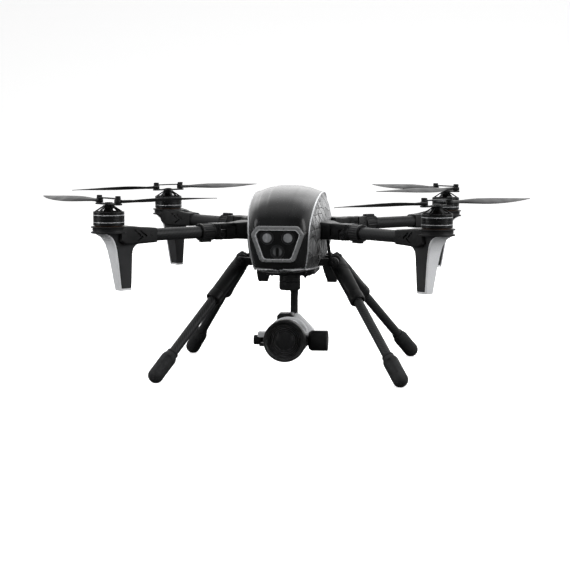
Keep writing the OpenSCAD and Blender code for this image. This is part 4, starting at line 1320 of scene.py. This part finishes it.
def build_blades(c, place):
    a_side = BLADE_A_SIDE[c]
    for part, s, angle in (("a", a_side, 90 * a_side), ("b", -a_side, BLADE_B_ANGLE[c])):
        pin = place @ move(MOTOR_R, s * BOLT, BLADE_PIN.z - 0.1) @ rot("Z", angle)
        name = "blade_%s_%s" % (part, c)
        piece("prop_" + name, blade_mesh(), name, [BLADE], [name], pin, 60)


def build_arms():
    build_frame()
    for c in CORNERS:
        place = corner(c)
        long_tube = along_arm(tube(TUBE_R, 7.6, KNUCKLE_END + 2, MOTOR_R - 29, 0.3, 64))
        piece("tube_" + c, long_tube, "arm_" + c, [TUBE], ["arm_tube_" + c], place, 32)
        build_knuckle(c, place)
        build_collar(c, place)
        build_mount(c, place)
        build_winglet(c, place)
        build_bell(c, place)
        build_hub(c, place)
        build_blades(c, place)
        dress("motor_stator_" + c, COIL)


# ------------------------------------------------------------------ landing legs
BALL_R = 11.6  # radius of a boot's round end
LEG_SLEEVE_R = 11.9
LEG_TOP = -5.5  # where the sleeve starts, along the leg from its hub


def leg_sleeve(a, b):
    """A sleeve from the hub to b, with three grooves past a and a stepped lower end."""
    r = LEG_SLEEVE_R
    profile = [(0, LEG_TOP), (10.4, LEG_TOP), (11.4, LEG_TOP + 0.9), (r, a + 3)]
    for k in range(3):
        z = a + 5 + k * 3.4
        profile += [(r, z), (11.3, z + 0.45), (11.3, z + 1.35), (r, z + 1.8)]
    profile += [(11.2, b - 16), (10.95, b - 15.5), (10.95, b - 14.9), (11.6, b - 14.4), (r, b - 3.2),
                (11.5, b - 1.4), (10.6, b - 0.3), (9.3, b), (8.7, b - 0.4), (8.4, b - 1.4), (8.2, b - 5),
                (0, b - 5)]
    return lathe(profile, 72)


def boot(foot, way, neck, sy):
    """A rubber boot: round end, straight barrel, flared shoulder, a side pocket and a flat to stand on."""
    profile = [(0, -BALL_R)]
    for k in range(1, 9):
        t = math.pi / 2 * k / 8
        profile.append((BALL_R * math.sin(t), -BALL_R * math.cos(t)))
    profile += [(11.55, 4), (11.45, 16), (11.55, 30), (11.6, neck - 13), (11.2, neck - 10.4),
                (10.3, neck - 8), (9.3, neck - 6), (8.9, neck - 4.8), (8.3, neck - 4.4), (8.3, neck - 3),
                (8.9, neck - 2.6), (8.9, neck - 0.8), (8.4, neck), (7.5, neck + 0.2), (7.15, neck - 0.6),
                (7.15, neck - 6), (0, neck - 6)]
    shape = placed(lathe(profile, 72), aim(foot, -way))
    across = Vector((0, sy, 0))
    side = (across - way * way.dot(across)).normalized()
    turn = Matrix((side.cross(way), -way, side)).transposed().to_4x4()
    pocket = bevel(prism(soft_rect(-4.4, 4.4, -15, 15, 4.3, 6), -1.5, 4), 0.3)
    shape = cut(shape, [placed(pocket, Matrix.Translation(foot - way * 19 + side * 11.4) @ turn)])
    bmesh.ops.bisect_plane(shape, geom=shape.verts[:] + shape.edges[:] + shape.faces[:],
                           plane_co=(0, 0, 0.02), plane_no=(0, 0, 1), clear_inner=True)
    bmesh.ops.holes_fill(shape, edges=[e for e in shape.edges if e.is_boundary])
    return shape


def leg_hub(kit, hub):
    """The shaft that both legs of a side swing on, its knuckle and its end screws."""
    knuckle = [(0, -15), (8.8, -15), (9.6, -14.2), (9.6, -9), (9.1, -8.5), (9.1, 8.5), (9.6, 9), (9.6, 14.2),
               (8.8, 15), (0, 15)]
    kit.put(rod(5, -38, 38, 0.5), 1, aim(hub, (0, 1, 0)))
    kit.put(lathe(knuckle), 0, aim(hub, (0, 1, 0)))
    for end in SIDES:
        kit.put(screw(3.6, 1.2), 1, aim(hub + Vector((0, end * 37.9, 0)), (0, end, 0)))


def build_legs():
    for name, s in (("right", 1), ("left", -1)):
        hub = joint_mm("leg_retract_" + name)
        lo, hi = mm_box("foot_boots_" + name)
        foot_x = (hi.x - BALL_R) if s > 0 else (lo.x + BALL_R)
        sleeves, rods, boots = Kit(), Kit(), Kit()
        leg_hub(sleeves, hub)
        for sy in SIDES:
            foot = Vector((foot_x, sy * (hi.y - BALL_R), BALL_R - 0.6))
            length = (foot - hub).length
            place = aim(hub, foot - hub)
            a, b = 0.06 * length, 0.36 * length
            for tab in range(6):
                lug = box(10, LEG_SLEEVE_R, -2.6, 2.6, LEG_TOP - 0.5, LEG_TOP + 5.5, 0.4)
                sleeves.put(lug, 0, place @ rot("Z", 60 * tab + 30))
            sleeves.put(leg_sleeve(a, b), 0, place)
            end = 0.925 * length
            rods.put(lathe([(0, b - 6), (7.1, b - 6), (7.1, end), (0, end)], 56), 0, place)
            boots.put(boot(foot, (foot - hub).normalized(), 0.19 * length, sy))
        body = "legs_" + name
        piece("leg_sleeves_" + name, sleeves, body, [ARM, BLACKED], ["legs_" + name])
        piece("leg_rods_" + name, rods, body, [ROD])
        piece("boots_" + name, boots, body, [RUBBER], ["foot_boots_" + name], angle=45)


# ------------------------------------------------------------------ gimbal and camera
ROLL_Z = joint_mm("gimbal_roll_turn").z
PITCH = joint_mm("camera_pitch")
LENS_LO, LENS_HI = mm_box("camera_lens")
LENS_Z, RING_R = (LENS_LO.z + LENS_HI.z) / 2, (LENS_HI.z - LENS_LO.z) / 2
LENS_AXIS = move(0, 0, LENS_Z) @ Y_AXIS
PITCH_AXIS = move(0, PITCH.y, PITCH.z) @ X_AXIS
ROLL_AXIS = move(0, 0, ROLL_Z) @ Y_AXIS
NECK_Y, ROLL_ARM_Y = 60, 32
BORE_R = 4.06  # the bore round each 8 mm gimbal shaft
PLATE_Z = 145.2


def build_gimbal_base():
    """The plate under the belly on rubber dampers, two cable hooks, and the fixed yaw motor can."""
    low, top = PLATE_Z, min(mm_box("gimbal_mount")[1].z, 153.8)
    can = [(0, 134.95), (15.4, 134.95), (16.2, 135.6), (16.2, 139.5), (15.9, 139.8), (15.9, 140.3),
           (16.2, 140.6), (16.2, 146), (0, 146)]
    kit = Kit(bevel(prism(soft_rect(-40, 40, -22, 70, 9, 6), low + 2.4, top), 0.7, 2, 50),
              bevel(prism(soft_rect(-34, 34, -20, 62, 8, 6), low, low + 1.9), 0.5, 2, 50), lathe(can, 80))
    kit.put(rod(4, 124.2, 136, 0.2, 32), 1)
    damper = [(0, low + 1.6), (3.4, low + 1.6), (4.2, low + 2.2), (3.4, low + 2.9), (0, low + 2.9)]
    for s in SIDES:
        for y in (-11, 52):
            kit.put(lathe(damper, 28), 2, move(s * 26, y, 0))
            kit.put(screw(2.2, 1.3), 1, move(s * 26, y, low - 0.02) @ rot("X", 180))
    hook = [(0, 0), (9, 0), (5.6, 2.6), (4.4, 6.4), (3, 2.6)]
    for y in (-17, 40):
        kit.put(bevel(prism(hook, -1.2, 1.2), 0.3, 1), 0, move(21, y, low + 0.4) @ Y_AXIS)
    piece("gimbal_base", kit, "airframe", [SATIN, STEEL, RUBBER], ["gimbal_mount"])


def build_gimbal_neck():
    """The turning yaw can, the bent neck with a wire along it, and the roll motor."""
    y, b = NECK_Y, BORE_R
    can = [(b, 123.2), (b, 122.4), (11.6, 121.6), (14, 121.9), (15.6, 122.9), (16.2, 124.6), (16.2, 134.1),
           (15.8, 134.6), (b, 134.6)]
    bend = [(0, 8, 128), (0, 30, 128.2), (0, 48, 127.4), (0, 57, 122.5), (0, y, 113), (0, y, 95),
            (0, y, 72), (0, y, 58)]
    motor = [(b, y - 14.8), (12.4, y - 14.8), (13, y - 14.2), (13, y + 3.4), (12.7, y + 3.8), (12.7, y + 4.4),
             (13, y + 4.8), (13, y + 6.6), (12, y + 7.8), (10, y + 8), (0, y + 8), (0, y + 4.4), (b, y + 4.4)]
    wire = [(2.6, 14, 133.4), (3.4, 34, 133.8), (4.6, 52, 131.5), (5.2, 63.4, 122), (4.2, 65.4, 100),
            (3.6, 65.6, 80), (3, 64.5, 63)]
    kit = Kit(lathe(can, 80, closed=True), sweep(smooth_path(bend, 6), 5.9, 24, up=(1, 0, 0)),
              placed(lathe(motor, 72), ROLL_AXIS))
    kit.put(sweep(smooth_path(wire, 6), 1.1, 8, up=(1, 0, 0)), 1)
    piece("gimbal_neck", kit, "gimbal_yaw", [SATIN, RUBBER], ["gimbal_yaw_arm"])


def build_gimbal_bracket():
    """The roll shaft, a flat bar round the side of the camera, and the pitch motor at its end."""
    y, z, reach = ROLL_ARM_Y, PITCH.z, ROLL_ARM_Y + 3.6
    kit = Kit(placed(rod(12, y, NECK_Y - 15.4, 0.6, 64), ROLL_AXIS))
    kit.put(placed(rod(4, y, NECK_Y + 3.6, 0.2, 32), ROLL_AXIS), 1)
    bends = [(4, reach, ROLL_Z), (24, reach, ROLL_Z), (38, y + 2.4, z), (46.4, y - 5, z), (47, y - 22, z),
             (47, -10, z), (47, PITCH.y + 2, z)]
    bar = [Vector((min(p.x, 47.2), min(p.y, reach), p.z)) for p in smooth_path(bends, 6)]
    kit.put(sweep(bar, 3.4, 20, flat=1.6))
    a, b = 33.6, mm_box("gimbal_roll_arm")[1].x + 1.6
    motor = [(BORE_R, a - 0.2), (11.6, a - 0.2), (12, a), (12.6, a + 0.2), (15, a + 3.4), (15.5, a + 4.4),
             (15.5, b - 1.2), (15.2, b - 0.3), (14.6, b - 0.05), (12.8, b - 0.5), (9, b - 1.2),
             (0, b - 1.5), (0, a + 19.2), (BORE_R, a + 19.2)]
    kit.put(placed(lathe(motor, 88), PITCH_AXIS))
    piece("gimbal_bracket", kit, "gimbal_roll", [SATIN, STEEL], ["gimbal_roll_arm"])


def camera_hood():
    """The dark housing on top of the drum, narrower towards its roof."""
    hood = soft_rect(-18, 8, -19, 9, 3.5, 5)
    loops = [at_z(hood, LENS_Z + 24), at_z(hood, LENS_Z + 31)]
    for kx, ky, z in ((0.86, 0.94, 33.4), (0.62, 0.84, 34.9)):
        loops.append([((x + 5) * kx - 5, (y + 5) * ky - 5, LENS_Z + z) for x, y in hood])
    return loft(loops)


def camera_shoulder():
    """The silver shoulder between the hood and the tilt motor, with rows of small vents."""
    slope = [(8.5, 34.2), (15, 33.4), (37.5, 10), (37.5, 2), (24, -4), (8.5, 20)]
    rim = rounded(slope, [1.5, 3, 3, 2, 2, 2], 4)
    layers = []
    for y, k in ((-24, 0.66), (-12, 0.93), (-9, 0.98), (-6, 1.0), (4, 1.0), (5, 0.98)):
        layers.append([(x * k, y, LENS_Z + z * k) for x, z in rim])
    vents = []
    for i in range(9):
        for j in range(4):
            t, k = 0.1 + 0.1 * i, 0.74 + 0.055 * j
            at = Vector(((15 + 22.5 * t) * k, -24 + 12 * (k - 0.66) / 0.27, LENS_Z + (33.4 - 23.4 * t) * k))
            vents.append(placed(rod(0.7, -0.8, 2, 0.05, 8), aim(at, (0.6, -0.55, 0.58))))
    return cut(loft(layers), vents)


def camera_drum(kit):
    """The silver drum with its dark core, rear cap and slots, and the band in front of it."""
    rear = mm_box("camera_body")[1].y
    drum = [(24.8, -20), (29.2, -20), (30.6, -19), (31, -17.4), (31, -9), (30.6, -8.6), (30.6, -8),
            (31, -7.6), (31, rear - 8.6), (30.4, rear - 6), (28.4, rear - 4.9), (24.8, rear - 4.9)]
    cap = [(0, rear - 6), (28, rear - 6), (28, rear - 1.4), (27, rear - 0.3), (24, rear - 0.1),
           (23.4, rear - 0.8), (16, rear - 0.8), (15.4, rear - 0.1), (0, rear - 0.1)]
    y = PITCH.y
    band = [(22.06, y - 8), (24, y - 8), (24.6, y - 7.4), (24.6, -20), (22.06, -20)]
    core = [(0, -5.8), (24.9, -5.8), (24.9, rear - 5.5), (0, rear - 5.5)]
    kit.put(lathe(drum, 96, closed=True), 0, LENS_AXIS)
    kit.put(lathe(cap, 96), 1, LENS_AXIS)
    kit.put(lathe(band, 96, closed=True), 1, LENS_AXIS)
    kit.put(lathe(core), 1, LENS_AXIS)
    for k in range(7):
        z = -9 + k * 3
        kit.put(box(-12, 12, z - 0.6, z + 0.6, rear - 0.5, rear - 0.05, 0.2), 1, LENS_AXIS)


def pitch_knob(kit):
    """The tilt shafts on both sides, and the fluted knob with its plate on the left."""
    kit.put(rod(4, 22.4, 49.4, 0.3, 32), 2, PITCH_AXIS)
    kit.put(lathe([(4, 22), (8, 22), (8, 32.2), (7.4, 32.8), (4, 32.8)], 48, closed=True), 2, PITCH_AXIS)
    kit.put(rod(4, -42, -22.2, 0.3, 32), 1, PITCH_AXIS)
    knob = [(0, -50), (6.4, -50), (7.2, -49.4), (7.5, -48.4), (7.5, -40.2), (7, -39.2), (0, -39.2)]
    kit.put(flute(lathe(knob, 60), lambda wave: 0.5 + 0.5 * wave, 7.3), 1, PITCH_AXIS)
    y, z = PITCH.y, PITCH.z
    plate = rounded([(-41.5, y - 5), (-25, y - 7), (-25, y + 7), (-41.5, y + 5)], 2, 4)
    kit.put(bevel(prism(plate, z - 9.5, z - 4.5), 0.8, 2, 50), 1)


def build_camera_housing():
    kit = Kit()
    camera_drum(kit)
    kit.put(camera_hood(), 1)
    for k in range(5):
        x = -15 + k * 4.2
        kit.put(box(x, x + 2.4, -17, 6, LENS_Z + 34.4, LENS_Z + 34.95, 0.2), 1)
    kit.put(camera_shoulder())
    ear = prism(soft_rect(-44, -24, -46, -30, 3), PITCH.z + 4, PITCH.z + 12.5)
    kit.put(bevel(ear, 1.2, 3, 50))
    pitch_knob(kit)
    piece("camera_housing", kit, "camera", [CAMERA_SILVER, SATIN, STEEL], ["camera_body"])


def lens_profile():
    """Barrel, control ring, front rim and the stepped hood inside, as (radius, distance along Y)."""
    r, f, back, y = RING_R, LENS_LO.y, LENS_HI.y, PITCH.y
    barrel = [(22, back - 0.2), (22, y - 15.9), (28.4, y - 15.6), (30.2, y - 15.7), (31.1, y - 16.4),
              (r, y - 17.4)]
    rim = [(r, f + 9.6), (r - 0.5, f + 9.2), (r - 0.5, f + 8.2), (r, f + 7.8), (r, f + 1.5),
           (r - 0.5, f + 0.5), (r - 1.4, f + 0.02), (r - 2.6, f + 0.02), (28.4, f + 0.5), (27.7, f + 0.9)]
    for k in range(5):
        rim += [(27.5, f + 1.2 + k * 0.8), (27.15, f + 1.6 + k * 0.8)]
    well = [(27.5, f + 5.2), (26.2, f + 5.4), (25.8, f + 6.2), (25, f + 6.4), (24.6, f + 8.3), (0, f + 8.3)]
    return barrel + rim + well + [(0, back - 0.2)]


def build_lens():
    """The lens barrel, thin rings round the front glass, and grip ribs on the control ring."""
    f, glass_r = LENS_LO.y, 14.2
    kit = Kit()
    kit.put(lathe(lens_profile(), 120), 0, LENS_AXIS)
    for r in (23.2, 20.8, 18.2, 15.2):
        ring = [(r - 0.35, f + 8.0), (r - 0.1, f + 7.4), (r + 0.1, f + 7.4), (r + 0.35, f + 8.0),
                (r + 0.35, f + 8.6), (r - 0.35, f + 8.6)]
        kit.put(lathe(ring, 96, closed=True), 0, LENS_AXIS)
    dome = [(glass_r, f + 8.8)]
    for k in range(13):
        r = glass_r * (1 - k / 12)
        dome.append((r, f + 8.2 - 3.6 * (1 - (r / glass_r) ** 2)))
    kit.put(lathe(dome, 96), 1, LENS_AXIS)
    bezel = [(13.9, f + 8.1), (14.6, f + 7.2), (15.4, f + 7.2), (15.6, f + 8.4), (13.9, f + 8.6)]
    kit.put(lathe(bezel, 96, closed=True), 0, LENS_AXIS)
    for k in range(36):
        if math.sin(2 * math.pi * k / 36) >= -0.93:
            rib = box(-0.7, 0.7, -0.35, 0.1, f + 10.6, f + 16.4, 0.2)
            kit.put(rib, 0, LENS_AXIS @ rot("Z", 10 * k) @ move(0, RING_R - 0.02, 0))
    piece("lens_barrel", kit, "camera", [LENS_METAL, LENS], ["camera_lens"])


def build_gimbal():
    build_gimbal_base()
    build_gimbal_neck()
    build_gimbal_bracket()
    build_camera_housing()
    build_lens()


# ------------------------------------------------------------------ stage
LOOK_AT = (0, 0, 0.2)
# name, place, width, height, power in watts, seen in reflections
LIGHTS = (
    ("overhead_softbox", (0, 0.5, 2.6), 3.0, 2.6, 40, False),
    ("left_fill", (-2.0, -1.8, 1.0), 1.0, 2.2, 40, False),
    ("left_strip", (-2.4, -0.9, 1.1), 0.9, 2.2, 8, True),
    ("right_fill", (2.2, -1.5, 1.1), 1.0, 2.2, 46, False),
    ("right_strip", (2.5, -0.6, 1.2), 0.9, 2.2, 9, True),
    ("rear_fill", (0.4, 2.4, 1.2), 1.8, 1.4, 40, False),
)
CAMERA_AT = (0.3031, -2.6492, 0.3935)
CAMERA_YAW, CAMERA_TILT = math.radians(6.686), math.radians(5.665)
CAMERA_LENS, SENSOR = 110.9, 36


def floor_paper():
    """White paper with a faint tooth. It glows a little, so it stays white while the object stays dark."""
    m = Mat("backdrop_paper")
    m.put(m.b.inputs["Emission Color"], (1, 1, 1, 1))
    m.put(m.b.inputs["Emission Strength"], 0.66)
    return m.done(grey(0.9, 0), m.patches(60, 0.85, 0.95, 2), 0, m.bump(m.noise(2.5, 2), 0.02), spec=0.1)


def build_backdrop():
    """A floor that curves up into a wall behind the object, unseen by reflections."""
    line = [(-9, 0)]
    for k in range(15):
        t = math.pi / 2 * k / 14
        line.append((2.6 + 1.6 * math.sin(t), 1.6 * (1 - math.cos(t))))
    bm = bmesh.new()
    rows = [[bm.verts.new((x, y, z)) for x in (-12, 12)] for y, z in line + [(4.2, 9)]]
    for a, b in zip(rows, rows[1:]):
        bm.faces.new([a[0], a[1], b[1], b[0]])
    ob = new_object("backdrop", bm)
    ob.data.polygons.foreach_set("use_smooth", [True] * len(ob.data.polygons))
    ob.data.materials.append(floor_paper())
    ob.visible_glossy = False
    ob.visible_diffuse = False


def build_lights():
    for name, at, width, height, power, glossy in LIGHTS:
        light = bpy.data.lights.new(name, "AREA")
        light.shape = "RECTANGLE"
        light.size, light.size_y, light.energy = width, height, power
        ob = bpy.data.objects.new(name, light)
        ob.location = at
        ob.rotation_euler = (Vector(LOOK_AT) - Vector(at)).to_track_quat("-Z", "Y").to_euler()
        ob.visible_glossy = glossy
        bpy.context.scene.collection.objects.link(ob)


def build_world():
    """A studio seen in reflections: bright above and behind, grey at the sides, dark in front and below."""
    world = bpy.data.worlds.new("studio")
    world.use_nodes = True
    bpy.context.scene.world = world
    nt = world.node_tree
    nt.nodes.clear()

    def node(kind, *inputs, **settings):
        n = nt.nodes.new(kind)
        for k, v in settings.items():
            setattr(n, k, v)
        for socket, value in zip(n.inputs, inputs):
            if hasattr(value, "links"):
                nt.links.new(value, socket)
            else:
                socket.default_value = value
        return n

    def calc(op, *inputs):
        return node("ShaderNodeMath", *inputs, operation=op).outputs[0]

    def ramp(value, lo, hi, top):
        return node("ShaderNodeMapRange", value, lo, hi, 0.0, top, interpolation_type="SMOOTHSTEP").outputs[0]

    direction = node("ShaderNodeTexCoord").outputs["Generated"]
    x, y, z = node("ShaderNodeSeparateXYZ", direction).outputs
    above = ramp(calc("ADD", calc("MULTIPLY", y, 0.75), calc("MULTIPLY", z, 0.9)), 0.3, 1.2, 0.5)
    behind = calc("MULTIPLY", ramp(y, 0.4, 0.95, 1.1), ramp(z, -0.25, 0.2, 1.0))
    right = calc("MULTIPLY", ramp(x, 0.45, 0.95, 0.55), ramp(z, -0.3, 0.4, 1.0))
    left = calc("MULTIPLY", ramp(x, -0.5, -0.95, 0.3), ramp(z, -0.3, 0.4, 1.0))
    sides = calc("ADD", calc("ADD", left, right), 0.03)
    seen = node("ShaderNodeLightPath").outputs["Is Camera Ray"]
    total = calc("MAXIMUM", calc("ADD", calc("ADD", above, behind), sides), seen)
    background = node("ShaderNodeBackground")
    nt.links.new(total, background.inputs["Strength"])
    node("ShaderNodeOutputWorld", background.outputs[0])


def build_camera():
    """The photo's viewpoint: a long lens in front of the drone, a little to its right and above."""
    data = bpy.data.cameras.new("photo_camera")
    data.lens, data.sensor_width = CAMERA_LENS, SENSOR
    cam = bpy.data.objects.new("photo_camera", data)
    bpy.context.scene.collection.objects.link(cam)
    level = math.cos(CAMERA_TILT)
    look = Vector((-math.sin(CAMERA_YAW) * level, math.cos(CAMERA_YAW) * level, -math.sin(CAMERA_TILT)))
    cam.location = CAMERA_AT
    cam.rotation_euler = look.to_track_quat("-Z", "Y").to_euler()
    bpy.context.scene.camera = cam
    bpy.context.scene.view_settings.view_transform = "Standard"


build_body()
build_inside()
build_arms()
build_legs()
build_gimbal()
build_lights()
build_world()
build_backdrop()
build_camera()

bpy.context.view_layer.update()
